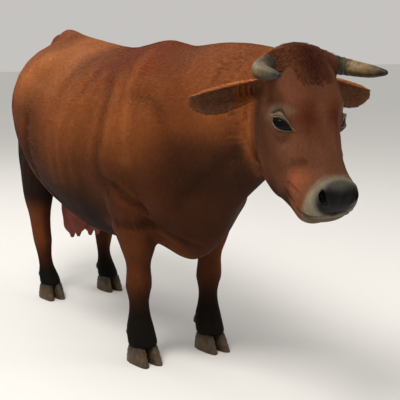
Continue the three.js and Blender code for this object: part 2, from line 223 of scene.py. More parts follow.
def copies_of(names: list[str], name: str) -> bpy.types.Object:
    """Copies nodes of the frame into one object, with their loose triangles merged.

    Args:
        names: The nodes to copy.
        name: The new object's name.

    Returns:
        The new object.
    """
    bpy.ops.object.select_all(action="DESELECT")
    made = []
    for node in names:
        copy = frame["nodes"][node].copy()
        copy.data = copy.data.copy()
        copy.parent = None
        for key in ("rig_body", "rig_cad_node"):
            del copy[key]
        bpy.context.scene.collection.objects.link(copy)
        copy.select_set(True)
        made.append(copy)
    bpy.context.view_layer.objects.active = made[0]
    if len(made) > 1:
        bpy.ops.object.join()
    piece = made[0]
    piece.name = piece.data.name = name
    piece.data.materials.clear()
    with editing(piece):
        bpy.ops.mesh.remove_doubles(threshold=1e-5)
        bpy.ops.mesh.normals_make_consistent(inside=False)
    return piece


class Net:
    """The edges of a mesh, for spreading values over its surface."""

    def __init__(self, mesh: bpy.types.Mesh) -> None:
        """Reads the edges of the mesh."""
        self.near, self.far = edges_of(mesh).T
        self.count = len(mesh.vertices)
        degree = np.bincount(self.near, minlength=self.count)
        degree = degree + np.bincount(self.far, minlength=self.count)
        self.share = 1.0 / np.maximum(degree, 1)

    def average(self, values: np.ndarray) -> np.ndarray:
        """The mean of each vertex's neighbours.

        Args:
            values: One row for each vertex.

        Returns:
            The means, in rows as given.
        """
        out = np.empty_like(values)
        for k in range(values.shape[1]):
            column = values[:, k]
            total = np.bincount(self.near, column[self.far], self.count)
            total += np.bincount(self.far, column[self.near], self.count)
            out[:, k] = total * self.share
        return out

    def spread(self, values: np.ndarray, times: int, rate: float | np.ndarray = 0.5) -> np.ndarray:
        """Values drawn towards their neighbours', a number of times.

        Args:
            values: One row for each vertex.
            times: How many rounds.
            rate: How far each round goes, from 0 to 1, for all or for each vertex.

        Returns:
            The softened values.
        """
        for _ in range(times):
            values = values + (self.average(values) - values) * rate
        return values


# ------------------------------------------------------------------ the animal's own places


@dataclass(frozen=True)
class HeadPlace:
    """The head's own directions: to the side, down the face from the poll, and out in front of it."""

    poll: Place = (0.0, -1.0445, 1.310)
    slope: float = math.radians(65.7)

    def down(self) -> np.ndarray:
        """The direction down the face."""
        return vec(0, -math.cos(self.slope), -math.sin(self.slope))

    def out(self) -> np.ndarray:
        """The direction straight out of the face."""
        return vec(0, -math.sin(self.slope), math.cos(self.slope))

    def point(self, side: float, down: float, out: float) -> np.ndarray:
        """A place on the head in the frame's coordinates."""
        return np.array(self.poll) + vec(side, 0, 0) + self.down() * down + self.out() * out

    def local(self, points: np.ndarray) -> np.ndarray:
        """Places in the frame as side, down and out."""
        rel = points - np.array(self.poll)
        return np.stack([rel[:, 0], rel @ self.down(), rel @ self.out()], 1)


HEAD = HeadPlace()


@dataclass(frozen=True)
class EyePlace:
    """One eye: its ball, the way it looks and the outline of the opening between the lids."""

    side: float
    radius: float = 0.0365
    place: Place = (0.102, 0.243, -0.069)  # side, down and out on the head
    looks: Place = (0.90, -0.40, 0.12)
    towards_front: Place = (-0.38, -0.80, -0.30)
    front: float = math.radians(85)  # how far the opening's front corner turns from its middle
    back: float = math.radians(50)  # and its back corner
    top: float = math.radians(29)  # how far the upper lid's edge is above the line of the corners
    bottom: float = math.radians(22)  # and the lower lid's edge below it
    top_peak: float = 0.35  # the turn at which the upper lid is highest
    bottom_peak: float = 0.20  # and the lower lid lowest
    level: float = 0.13  # the height of the line of the corners where it isn't turned
    slope: float = -0.14  # how that line falls towards the front corner
    past: float = 0.9  # how steeply an edge falls past its corners
    slide: float = 0.0009  # how near the rim a vertex of the skin slides onto it
    clear: float = 0.0004  # between the ball and the lids
    thick: float = 0.0022  # of the lids
    sunk: float = 0.006  # how far inside the ball the skin is in the opening
    # the lids' folds: each one's height, its distance from the rim and its width, in millimetres
    upper_folds: tuple[Place, ...] = (
        (1.4, 3.4, 2.2), (-1.2, 7.8, 1.4), (3.2, 13.5, 4.2), (-3.0, 20.5, 1.9), (1.6, 26.0, 3.4),
    )
    lower_folds: tuple[Place, ...] = (
        (2.1, 3.0, 2.0), (-1.6, 6.4, 1.4), (1.8, 10.4, 2.5), (-1.3, 14.4, 1.8),
    )

    def centre(self) -> np.ndarray:
        """The middle of the eyeball."""
        side, down, out = self.place
        return HEAD.point(side * self.side, down, out)

    def basis(self) -> np.ndarray:
        """Three rows: towards the front corner, up across the lids, and outwards."""
        outward = unit(vec(*self.looks) * vec(self.side, 1, 1))
        forward = unit(vec(*self.towards_front) * vec(self.side, 1, 1))
        forward = unit(forward - outward * (forward @ outward))
        upward = np.cross(outward, forward) * self.side
        return np.stack([forward, upward * np.sign(upward[2]), outward])

    def ray(self, turn: np.ndarray, lift: np.ndarray) -> np.ndarray:
        """Directions from the eyeball's middle.

        Args:
            turn: How far each turns towards the front corner.
            lift: How far each rises across the lids.

        Returns:
            Unit directions.
        """
        forward, upward, outward = self.basis()
        return (
            forward * (np.sin(turn) * np.cos(lift))[:, None]
            + outward * (np.cos(turn) * np.cos(lift))[:, None]
            + upward * np.sin(lift)[:, None]
        )

    def edge(self, turn: np.ndarray, height: float, peak: float) -> np.ndarray:
        """How far a lid's edge stands from the middle line, as an angle.

        Args:
            turn: How far the place turns towards the front corner.
            height: The edge's greatest distance.
            peak: Where along the eye that is.

        Returns:
            The distance at each place, below zero past the corners.
        """
        reach = np.where(turn > peak, self.front - peak, self.back + peak)
        away = np.abs(turn - peak)
        inside = height * np.cos(np.minimum(away / reach, 1) * math.pi / 2)
        return inside - self.past * np.maximum(away - reach, 0)

    def upper(self, turn: np.ndarray) -> np.ndarray:
        """The height of the upper lid's edge at a turn towards the front corner."""
        return self.edge(turn, self.top, self.top_peak) + self.level + self.slope * turn

    def lower(self, turn: np.ndarray) -> np.ndarray:
        """The depth of the lower lid's edge at a turn towards the front corner."""
        return self.edge(turn, self.bottom, self.bottom_peak) - self.level - self.slope * turn


EYES = tuple(EyePlace(side) for side in SIDES.values())


def from_eyes(points: np.ndarray) -> np.ndarray:
    """How far places are from the middle of the nearer eye."""
    return np.minimum(*(np.linalg.norm(points - eye.centre(), axis=1) for eye in EYES))


FLESH_SOFTNESS = {  # how far each kind of flesh is rounded, in metres
    "trunk": 0.036,
    "neck": 0.030,
    "head": 0.0085,
    "eye": 0.006,
    "ear": 0.0035,
    "leg_front_upper": 0.018,
    "leg_front_lower": 0.0075,
    "leg_hind_upper": 0.018,
    "leg_hind_lower": 0.0075,
    "udder": 0.010,
    "teat": 0.002,
    "tail": 0.007,
}


@dataclass(frozen=True)
class Bulge:
    """A swelling on both sides of the animal, or a hollow where its height is below zero."""

    place: Place
    reach: Place
    height: float
    on_head: bool = False


@dataclass(frozen=True)
class Fold:
    """A line over the skin on both sides: a crease where its height is below zero, or a ridge."""

    path: tuple[Place, ...]
    width: float
    height: float
    on_head: bool = False
    banks: float = 0.4  # how high the skin stands beside a crease, against the crease's depth


BODY_FORMS = (
    Bulge((0.00, 0.955, 1.350), (0.10, 0.11, 0.06), 0.013),  # top of the rump
    Bulge((0.00, -0.165, 1.300), (0.08, 0.16, 0.06), 0.009),  # withers
    Bulge((0.235, 0.72, 1.215), (0.05, 0.07, 0.05), 0.012),  # hook bone
    Bulge((0.115, 1.17, 1.165), (0.05, 0.06, 0.05), 0.009),  # pin bone
    Bulge((0.27, 0.50, 1.13), (0.14, 0.15, 0.10), -0.016),  # hollow of the flank
    Bulge((0.20, -0.385, 0.70), (0.07, 0.07, 0.08), 0.012),  # point of the shoulder
    Bulge((0.28, -0.12, 0.79), (0.10, 0.11, 0.13), 0.014),  # upper arm
    Bulge((0.27, 0.02, 0.93), (0.08, 0.09, 0.16), -0.010),  # behind the shoulder
    Bulge((0.26, 0.72, 0.80), (0.10, 0.10, 0.12), 0.010),  # thigh
    Bulge((0.168, -0.205, 0.345), (0.035, 0.03, 0.035), 0.004),  # knee
    Bulge((0.165, -0.170, 0.150), (0.03, 0.04, 0.03), 0.003),  # front fetlock
    Bulge((0.177, 1.055, 0.372), (0.03, 0.03, 0.03), 0.006),  # point of the hock
    Bulge((0.054, 0.875, 0.365), (0.045, 0.055, 0.035), 0.013),  # hind quarter of the udder
    Bulge((0.056, 0.785, 0.385), (0.045, 0.050, 0.035), 0.011),  # fore quarter of the udder
)

BODY_FOLDS = (
    Fold(((0.090, -0.100, 1.280), (0.220, -0.200, 1.080), (0.280, -0.260, 0.860)), 0.032, 0.007),
    Fold(((0.185, 0.010, 1.200), (0.250, -0.060, 1.105), (0.305, -0.090, 0.965), (0.320, -0.085, 0.845),
          (0.300, -0.105, 0.765), (0.290, -0.170, 0.690)), 0.032, -0.0075),
    Fold(((0.300, -0.135, 0.775), (0.270, -0.205, 0.725), (0.240, -0.260, 0.685), (0.205, -0.365, 0.650)),
         0.017, -0.009),
    Fold(((0.220, -0.185, 1.120), (0.190, -0.320, 1.095), (0.180, -0.430, 1.035)), 0.032, -0.006),
    Fold(((0.325, 0.235, 1.045), (0.270, 0.180, 1.130), (0.195, 0.165, 1.210)), 0.026, 0.0035),
    Fold(((0.315, 0.105, 1.025), (0.260, 0.070, 1.105), (0.195, 0.035, 1.190)), 0.026, 0.0035),
    Fold(((0.320, 0.170, 1.035), (0.265, 0.125, 1.120), (0.195, 0.100, 1.200)), 0.026, -0.0024),
    Fold(((0.330, 0.395, 1.055), (0.270, 0.385, 1.145), (0.185, 0.360, 1.230)), 0.030, 0.0032),
    Fold(((0.325, 0.315, 1.050), (0.270, 0.290, 1.135), (0.190, 0.270, 1.220)), 0.026, -0.0020),
    Fold(((0.120, -0.860, 0.980), (0.150, -0.660, 0.840), (0.160, -0.460, 0.700)), 0.030, -0.009),
    Fold(((0.220, 1.020, 1.080), (0.260, 0.980, 0.860), (0.230, 1.000, 0.620)), 0.028, -0.008),
    Fold(((0.300, 0.600, 0.980), (0.310, 0.620, 0.840), (0.270, 0.580, 0.660)), 0.034, -0.009),
    Fold(((0.200, 0.460, 0.560), (0.250, 0.560, 0.620), (0.280, 0.660, 0.740)), 0.026, 0.009),
    Fold(((0.160, -0.400, 0.620), (0.200, -0.240, 0.600), (0.240, -0.080, 0.620)), 0.022, -0.010),
    Fold(((0.030, -0.460, 0.500), (0.110, -0.410, 0.550), (0.150, -0.350, 0.600)), 0.012, -0.007),
    Fold(((0.030, -0.420, 0.455), (0.100, -0.360, 0.500), (0.150, -0.300, 0.570)), 0.012, -0.006),
    Fold(((0.205, -0.100, 0.300), (0.205, -0.110, 0.220), (0.205, -0.120, 0.160)), 0.010, -0.004),
    Fold(((0.205, 0.980, 0.300), (0.200, 0.965, 0.220), (0.200, 0.940, 0.160)), 0.010, -0.004),
    Fold(((0.200, -0.980, 1.195), (0.185, -0.960, 1.170), (0.180, -0.960, 1.140)), 0.0042, -0.0060),
    Fold(((0.170, -0.985, 1.200), (0.165, -0.965, 1.175), (0.160, -0.960, 1.145)), 0.0042, -0.0065),
    Fold(((0.150, -0.985, 1.200), (0.145, -0.965, 1.175), (0.145, -0.965, 1.145)), 0.0040, -0.0055),
    Fold(((0.235, -0.950, 1.130), (0.210, -0.955, 1.135), (0.180, -0.970, 1.130)), 0.0040, -0.0032),
    Fold(((0.170, -0.985, 1.200), (0.260, -0.965, 1.180), (0.345, -0.950, 1.160)), 0.0045, 0.0028),
    Fold(((0.190, -0.965, 1.155), (0.270, -0.950, 1.140), (0.330, -0.945, 1.130)),
         0.022, -0.0055, False, 0.0),
    Fold(((0.225, -0.950, 1.120), (0.200, -0.955, 1.125), (0.175, -0.965, 1.120)), 0.0036, -0.0020),
) + tuple(
    Fold(((0.03 + 0.01 * i, -0.89 + 0.045 * i, 1.285), (0.085, -0.80 + 0.045 * i, 1.235),
          (0.125, -0.74 + 0.045 * i, 1.15)), 0.015, -0.0034, False, 0.6)
    for i in range(3)
) + tuple(
    Fold(((0.118, -0.885 + 0.036 * i, 1.12), (0.112, -0.868 + 0.036 * i, 1.02),
          (0.082, -0.850 + 0.03 * i, 0.92), (0.02, -0.79 + 0.03 * i, 0.835)), 0.013, -0.0055)
    for i in range(3)
) + tuple(
    Fold(((0.33, 0.12 + 0.10 * i, 1.00), (0.34, 0.13 + 0.10 * i, 0.88), (0.33, 0.12 + 0.10 * i, 0.72)),
         0.026, 0.0028)
    for i in range(3)
)

HEAD_FORMS = (
    Bulge((0.098, 0.200, -0.030), (0.030, 0.026, 0.034), 0.006, True),  # brow
    Bulge((0.000, 0.205, 0.022), (0.045, 0.070, 0.05), -0.005, True),  # between the eyes
    Bulge((0.000, -0.005, -0.030), (0.060, 0.030, 0.05), 0.006, True),  # poll
    Bulge((0.122, 0.135, -0.105), (0.03, 0.035, 0.035), -0.008, True),  # temple
    Bulge((0.105, 0.275, -0.205), (0.05, 0.080, 0.07), 0.009, True),  # jaw muscle
    Bulge((0.096, 0.415, -0.085), (0.030, 0.032, 0.032), 0.0075, True),  # cheek by the mouth
    Bulge((0.050, 0.480, 0.004), (0.022, 0.020, 0.02), 0.005, True),  # over the nostril
    Bulge((0.000, 0.500, 0.006), (0.012, 0.045, 0.03), -0.003, True),  # groove of the nose
    Bulge((0.040, 0.545, -0.120), (0.05, 0.030, 0.03), 0.004, True),  # chin
)

HEAD_FOLDS = (
    Fold(((0.110, 0.290, -0.085), (0.100, 0.340, -0.070), (0.090, 0.390, -0.060)), 0.014, 0.008, True),
    Fold(((0.065, 0.270, -0.010), (0.050, 0.350, -0.005), (0.060, 0.430, -0.010)), 0.014, -0.004, True),
    Fold(((0.095, 0.360, -0.090), (0.085, 0.375, -0.055), (0.065, 0.390, -0.030)), 0.011, -0.0055, True),
    Fold(((0.095, 0.405, -0.130), (0.095, 0.445, -0.095), (0.100, 0.470, -0.080)), 0.007, -0.005, True),
    Fold(((0.095, 0.430, -0.150), (0.100, 0.470, -0.125), (0.100, 0.500, -0.105)), 0.006, -0.006, True),
    Fold(((0.095, 0.195, -0.300), (0.085, 0.300, -0.310), (0.080, 0.390, -0.290), (0.070, 0.460, -0.230)),
         0.016, 0.006, True),
    Fold(((0.030, 0.445, 0.005), (0.055, 0.455, -0.005), (0.080, 0.480, -0.020)), 0.006, -0.0025, True),
)

MOUTH = Fold(
    ((0.000, 0.551, -0.056), (0.038, 0.550, -0.060), (0.083, 0.541, -0.075), (0.097, 0.529, -0.086),
     (0.101, 0.508, -0.102), (0.100, 0.488, -0.118)),
    0.0045, -0.0085, True, 0.3,
)


def ran(path: tuple[Place, ...], steps: int = 14) -> np.ndarray:
    """A smooth line through the places of a path.

    Args:
        path: The places.
        steps: How many points lie between two places.

    Returns:
        The points of the line.
    """
    spots = np.array(path, float)
    spots = np.vstack([2 * spots[0] - spots[1], spots, 2 * spots[-1] - spots[-2]])
    out = []
    for a, b, c, d in zip(spots, spots[1:], spots[2:], spots[3:]):
        for t in np.arange(steps) / steps:
            bend = 2 * a - 5 * b + 4 * c - d
            out.append(b + 0.5 * t * (c - a + t * (bend + t * (3 * b - a - 3 * c + d))))
    out.append(spots[-2])
    return np.array(out)


# the folds' lines, kept for painting shade along the creases and highlights along the ridges
CREASES: list[tuple[np.ndarray, float, float]] = []  # lines on the skin's left, widths and heights


@dataclass
class Skin:
    """The one skin that stands for all the flesh, from the nose to the tail's end."""

    voxel: float = 0.0052
    swell: float = 0.0006  # closes the gaps between the solids
    depth: float = 0.003  # how far the skin lies inside the solids, for the coat
    rounds: int = 150  # of smoothing
    neck_end: float = -0.93  # the head's mesh, in front of this, is kept finer
    body_kept: float = 0.150
    head_kept: float = 0.42
    lid_reach: float = 0.082  # how far from the eye's middle the lids shape the skin
    not_near: float = 99.0  # the lids' distance away from the eyes
    fine_reach: float = 0.066  # how far round the eye's middle the mesh is halved
    finest_reach: float = 0.050  # and halved again
    nostril_place: Place = (0.064, 0.500, -0.008)  # side, down and out on the head
    nostril_half: tuple[float, float] = (0.021, 0.0105)  # its length and width
    nostril_sink: float = 0.017
    nostril_wing: float = 0.0042

    def __post_init__(self) -> None:
        """Joins the flesh into one surface and shapes it."""
        self.nodes = [n for n in frame["nodes"] if self.kind(n)]
        self.stands_for = [n for n in self.nodes if not n.startswith("eye")]
        self.piece = copies_of(self.nodes, "skin")
        self.read_solids()
        apply(self.piece, "DISPLACE", strength=self.swell, mid_level=0.0)
        apply(self.piece, "REMESH", mode="VOXEL", voxel_size=self.voxel)
        log.info("skin joined: %d faces", len(self.piece.data.polygons))
        self.soften()
        self.thin()
        self.refine()
        self.sculpt()
        self.read_surface()
        log.info("skin shaped: %d faces", len(self.piece.data.polygons))

    @staticmethod
    def kind(node: str) -> str:
        """The kind of flesh that a node is, or nothing for horn and claw."""
        if node == "tail_switch":
            return ""
        found = [kind for kind in FLESH_SOFTNESS if node.startswith(kind)]
        return max(found, key=len) if found else ""

    def read_solids(self) -> None:
        """Keeps the solids' surface for measuring against, with the kind of flesh of each face."""
        corners, faces, kinds = [], [], []
        names = list(FLESH_SOFTNESS)
        for node in self.nodes:
            mesh = frame["nodes"][node].data
            start = len(corners)
            corners.extend(v.co.copy() for v in mesh.vertices)
            faces.extend([start + i for i in p.vertices] for p in mesh.polygons)
            kinds.extend([names.index(self.kind(node))] * len(mesh.polygons))
        self.solids = BVHTree.FromPolygons(corners, faces)
        self.solid_kinds = np.array(kinds)

    def measure(self, points: np.ndarray) -> tuple[np.ndarray, np.ndarray]:
        """How far places stand out of the solids, and which kind of flesh is nearest.

        Args:
            points: The places.

        Returns:
            The distances, below zero inside, and the kinds' numbers.
        """
        away = np.empty(len(points))
        kind = np.empty(len(points), int)
        for i, point in enumerate(points):
            place, normal, face, _ = self.solids.find_nearest(point)
            away[i] = (Vector(point) - place).dot(normal)
            kind[i] = self.solid_kinds[face]
        return away, kind

    def soften(self) -> None:
        """Rounds the facets away, each kind of flesh by its own softness, and sets the coat's depth."""
        mesh = self.piece.data
        net = Net(mesh)
        points = points_of(mesh)
        _, kind = self.measure(points)
        softness = np.array(list(FLESH_SOFTNESS.values()))[kind]
        softness = net.spread(softness[:, None], 24)[:, 0]
        rate = 2 * (softness / self.voxel) ** 2 / self.rounds
        points = net.spread(points, self.rounds, np.minimum(rate, 0.9)[:, None])
        away, _ = self.measure(points)
        target = -self.depth * ramp(softness, 0.003, 0.012)
        move = net.spread((target - away)[:, None], 60)
        move_points(mesh, points)
        points += normals_of(mesh) * move
        # the hair line hangs over the top of the hoofs
        hang = ramp(points[:, 2], 0.092, 0.074)
        points[:, 2] -= 0.007 * hang
        move_points(mesh, points)

    def thin(self) -> None:
        """Thins the mesh, most where the body is plain."""
        for share, on_body in ((self.body_kept, True), (self.head_kept, False)):
            middle = face_centres(self.piece.data)
            with editing(self.piece, (middle[:, 1] > self.neck_end) == on_body):
                bpy.ops.mesh.decimate(ratio=share)
        log.info("skin thinned: %d faces", len(self.piece.data.polygons))

    def refine(self) -> None:
        """Halves the mesh round the muzzle, the ears' feet and the eyes, and round the eyes again."""
        middle = face_centres(self.piece.data)
        local = HEAD.local(middle)
        x, y, z = np.abs(middle[:, 0]), middle[:, 1], middle[:, 2]
        muzzle = (local[:, 1] > 0.435) & (local[:, 2] > -0.15) & (y < -1.0)
        ear_foot = (x > 0.125) & (x < 0.245) & (y > -1.01) & (y < -0.93) & (z > 1.09) & (z < 1.22)
        with editing(self.piece, muzzle | ear_foot | (from_eyes(middle) < self.fine_reach)):
            bpy.ops.mesh.subdivide(number_cuts=1)
        with editing(self.piece, from_eyes(face_centres(self.piece.data)) < self.finest_reach):
            bpy.ops.mesh.subdivide(number_cuts=1)

    def move(self, points: np.ndarray) -> None:
        """Moves the skin's vertices, and keeps their new places and normals."""
        self.points = points
        move_points(self.piece.data, points)
        self.normals = normals_of(self.piece.data)

    def sculpt(self) -> None:
        """Raises and sinks the forms of the body and the head, and opens the lids and nostrils."""
        mesh = self.piece.data
        points = points_of(mesh)
        down = HEAD.local(points)[:, 1]
        fine = ramp(down, 0.42, 0.45) * ramp(points[:, 1], -0.95, -1.0)
        fine = np.maximum(ramp(from_eyes(points), 0.075, 0.062), fine)
        self.move(Net(mesh).spread(points, 6, 0.5 * fine[:, None]))
        push = np.zeros(len(points))
        for form in BODY_FORMS + HEAD_FORMS:
            push += self.bulge(form)
        self.move(self.points + self.normals * push[:, None])
        tree = BVHTree.FromPolygons(
            [Vector(p) for p in self.points], [tuple(p.vertices) for p in mesh.polygons]
        )
        push = np.zeros(len(points))
        for fold in BODY_FOLDS + HEAD_FOLDS + (MOUTH,):
            for side in SIDES.values():
                push += self.fold(fold, side, tree)
        self.move(self.points + self.normals * push[:, None])
        self.nostril_depth = np.zeros(len(points))
        self.lid_gap = np.full(len(points), self.not_near)
        self.lid_upper = np.zeros(len(points))
        self.lid_lower = np.zeros(len(points))
        for eye in EYES:
            self.nostril(eye.side)
            self.lids(eye)
        move_points(mesh, self.points)

    def bulge(self, form: Bulge) -> np.ndarray:
        """How far one swelling pushes each point."""
        where = HEAD.local(self.points) if form.on_head else self.points
        reach = np.array(form.reach)
        place = np.array(form.place)
        mirror = np.stack([np.abs(where[:, 0]), where[:, 1], where[:, 2]], 1)
        away = (mirror - place) / reach
        return form.height * np.exp(-(away**2).sum(1))

    def fold(self, fold: Fold, side: float, tree: BVHTree) -> np.ndarray:
        """How far one fold pushes each point.

        Args:
            fold: The fold.
            side: 1 for the left, -1 for the right.
            tree: The skin, for laying the fold's line on it.

        Returns:
            The push for each point, along its normal.
        """
        line = ran(fold.path)
        line[:, 0] *= side
        if fold.on_head:
            line = np.array([HEAD.point(*p) for p in line])
        found = [tree.find_nearest(p) for p in line]
        line = np.array([place for place, *_ in found])
        facing = np.array([normal for _, normal, *_ in found])
        # keeps the line for the markings' painted shade or highlight
        if side > 0:
            CREASES.append((line, fold.width, fold.height))
        reach = fold.width * 3.2
        low, high = line.min(0) - reach, line.max(0) + reach
        near = np.flatnonzero(((self.points > low) & (self.points < high)).all(1))
        push = np.zeros(len(self.points))
        if not len(near):
            return push
        gaps = np.linalg.norm(self.points[near, None, :] - line[None], axis=2)
        nearest = gaps.argmin(1)
        along = nearest / (len(line) - 1)
        ends = ramp(along, 0, 0.18) * ramp(along, 1, 0.82)
        if fold is MOUTH:
            ends = ramp(along, 1, 0.85)
        gap = gaps.min(1)
        shape = bell(gap, fold.width)
        if fold.height < 0:
            shape -= fold.banks * bell(gap - 1.9 * fold.width, 0.8 * fold.width)
        shape *= ramp((self.normals[near] * facing[nearest]).sum(1), -0.1, 0.35)
        push[near] = fold.height * shape * ends
        return push

    def nostril(self, side: float) -> None:
        """Sinks one nostril into the muzzle, with its wing raised round it."""
        out_to_side, down, out = self.nostril_place
        middle = HEAD.point(out_to_side * side, down, out)
        near = np.flatnonzero(np.linalg.norm(self.points - middle, axis=1) < 0.05)
        facing = unit(self.normals[near].mean(0))
        along = unit(HEAD.down() - facing * (HEAD.down() @ facing))
        across = np.cross(facing, along) * side  # towards the middle of the nose
        rel = self.points[near] - middle
        a = rel @ along
        b = rel @ across + 9.0 * (a - 0.004) ** 2 * np.sign(a + 0.2) - 0.001  # bent like a comma
        long, wide = self.nostril_half
        far = np.sqrt((a / long) ** 2 + (b / wide) ** 2)
        sink = self.nostril_wing * bell(far - 1.35, 0.42) - self.nostril_sink * ramp(far, 1.15, 0.45)
        self.points[near] += facing * sink[:, None]
        self.nostril_depth[near] = np.maximum(self.nostril_depth[near], ramp(far, 1.15, 0.7))

    def lids(self, eye: EyePlace) -> None:
        """Folds the skin over one eyeball and parts it in an almond opening."""
        middle = eye.centre()
        rel = self.points - middle
        far = np.linalg.norm(rel, axis=1)
        near = np.flatnonzero(far < self.lid_reach)
        forward, upward, outward = eye.basis()
        way = rel[near] / far[near, None]
        turn = np.arctan2(way @ forward, way @ outward)
        lift = np.arcsin(np.clip(way @ upward, -1, 1))
        front = way @ outward > -0.15
        above = lift - eye.upper(turn)
        below = -lift - eye.lower(turn)
        outside = np.maximum(above, below) * eye.radius
        upper = above > below
        # vertices beside the rim slide onto it, so that the edge of each lid is clean
        slide = np.where(np.abs(outside) < eye.slide, outside, 0) * front
        way = unit(way - upward * (np.where(upper, 1, -1) * slide / eye.radius)[:, None])
        outside = outside - slide
        natural = far[near]
        # millimetres from the rim, drawn out towards the front corner, where the lids are narrow
        gap = outside * 1150 / (1 - np.where(upper, 0.72, 0.45) * ramp(turn, -0.6, 1.3))
        base = eye.radius + eye.clear + eye.thick * ramp(gap, 0, 1.8)
        fold_up = sum(height * bell(gap - place, width) for height, place, width in eye.upper_folds)
        fold_up = fold_up + 5.0 * bell(gap - 12.0, 7.0) * ramp(turn, -0.1, -0.8)
        fold_low = sum(height * bell(gap - place, width) for height, place, width in eye.lower_folds)
        blend = np.where(upper, ramp(gap, 7.0, 25.0), ramp(gap, 4.0, 17.0))
        over = np.maximum(natural, base)
        made = base + (over - base) * blend + 0.001 * np.where(upper, fold_up, fold_low)
        made = np.where(gap < -0.1, np.minimum(eye.radius - eye.sunk, natural), made)
        keep = ramp(natural, 0.081, 0.068) * ramp(way @ outward, -0.15, 0.05)
        made = natural + (made - natural) * keep
        self.points[near] = middle + way * made[:, None]
        between = front * ramp(turn, 1.62, 1.38) * ramp(turn, -1.45, -1.15)
        self.lid_gap[near] = np.where(front, gap, self.lid_gap[near])
        self.lid_upper[near] = between * upper
        self.lid_lower[near] = between * ~upper

    def read_surface(self) -> None:
        """Keeps the finished surface for the coat: triangles, areas and what kind of flesh each is."""
        mesh = self.piece.data
        mesh.calc_loop_triangles()
        self.triangles = rows(mesh.loop_triangles, "vertices", 3, np.int32)
        self.points = points_of(mesh)
        self.normals = normals_of(mesh)
        a, b, c = (self.points[self.triangles[:, i]] for i in range(3))
        self.areas = np.linalg.norm(np.cross(b - a, c - a), axis=1) / 2


# ------------------------------------------------------------------ colours


@dataclass(frozen=True)
class Tones:
    """The colours of the coat and the bare skin, and those of the painted shade and painted highlights laid
    over them.
    """

    mid: Tone = (107, 55, 24)
    # light also stands for painted highlights: on top of the body, on the neck and flanks, and along ridges
    light: Tone = (153, 89, 45)
    red: Tone = (100, 41, 8)
    # dark also stands for painted shade: under the body, on the legs' inner sides and in creases
    dark: Tone = (29, 14, 6)
    stocking: Tone = (15, 11, 7)
    shank: Tone = (98, 50, 22)
    face: Tone = (98, 58, 38)
    bridge: Tone = (86, 53, 35)
    forelock: Tone = (62, 26, 15)
    temple: Tone = (66, 38, 20)
    jaw: Tone = (150, 82, 42)
    # cheek: a painted highlight on the cheek's bulge
    cheek: Tone = (158, 84, 56)
    ring: Tone = (122, 113, 95)
    chin: Tone = (68, 58, 46)
    pad: Tone = (17, 16, 15)
    pad_top: Tone = (62, 60, 54)
    under_eye: Tone = (122, 80, 60)
    nostril: Tone = (12, 10, 9)
    lid: Tone = (136, 120, 96)
    lid_fold: Tone = (70, 60, 40)
    rim: Tone = (138, 110, 95)
    # socket also stands for painted shade in the lids' creases and inside their opening
    socket: Tone = (14, 10, 9)
    ear: Tone = (94, 60, 40)
    # a painted highlight where the light catches the ears' top rim
    ear_rim_highlight: Tone = (190, 116, 70)
    udder: Tone = (112, 61, 52)
    switch: Tone = (30, 21, 16)
    lash: Tone = (26, 19, 15)


TONES = Tones()


def mixed(under: np.ndarray, tone: Tone, share: np.ndarray) -> np.ndarray:
    """Colours drawn towards a tone by a share for each."""
    return under + (srgb(*tone) - under) * np.clip(share, 0, 1)[:, None]


def painted(under: np.ndarray | Tone, *marks: tuple[Tone, np.ndarray]) -> np.ndarray:
    """Colours with marks laid over them, one after another.

    Args:
        under: The colours, or one tone for all.
        *marks: A tone and its share at each place, for each mark.

    Returns:
        Linear red, green and blue for each place.
    """
    made = np.tile(srgb(*under), (len(marks[0][1]), 1)) if isinstance(under, tuple) else under
    for tone, share in marks:
        made = mixed(made, tone, share)
    return made


def markings(points: np.ndarray, normals: np.ndarray) -> np.ndarray:
    """The colour of the coat at places on the animal, with its painted shade and highlights, for the skin and
    the tufts alike.

    Args:
        points: The places.
        normals: The directions in which the surface faces there.

    Returns:
        Linear red, green and blue for each place.
    """
    return head_markings(points, normals, leg_markings(points, normals, body_markings(points, normals)))


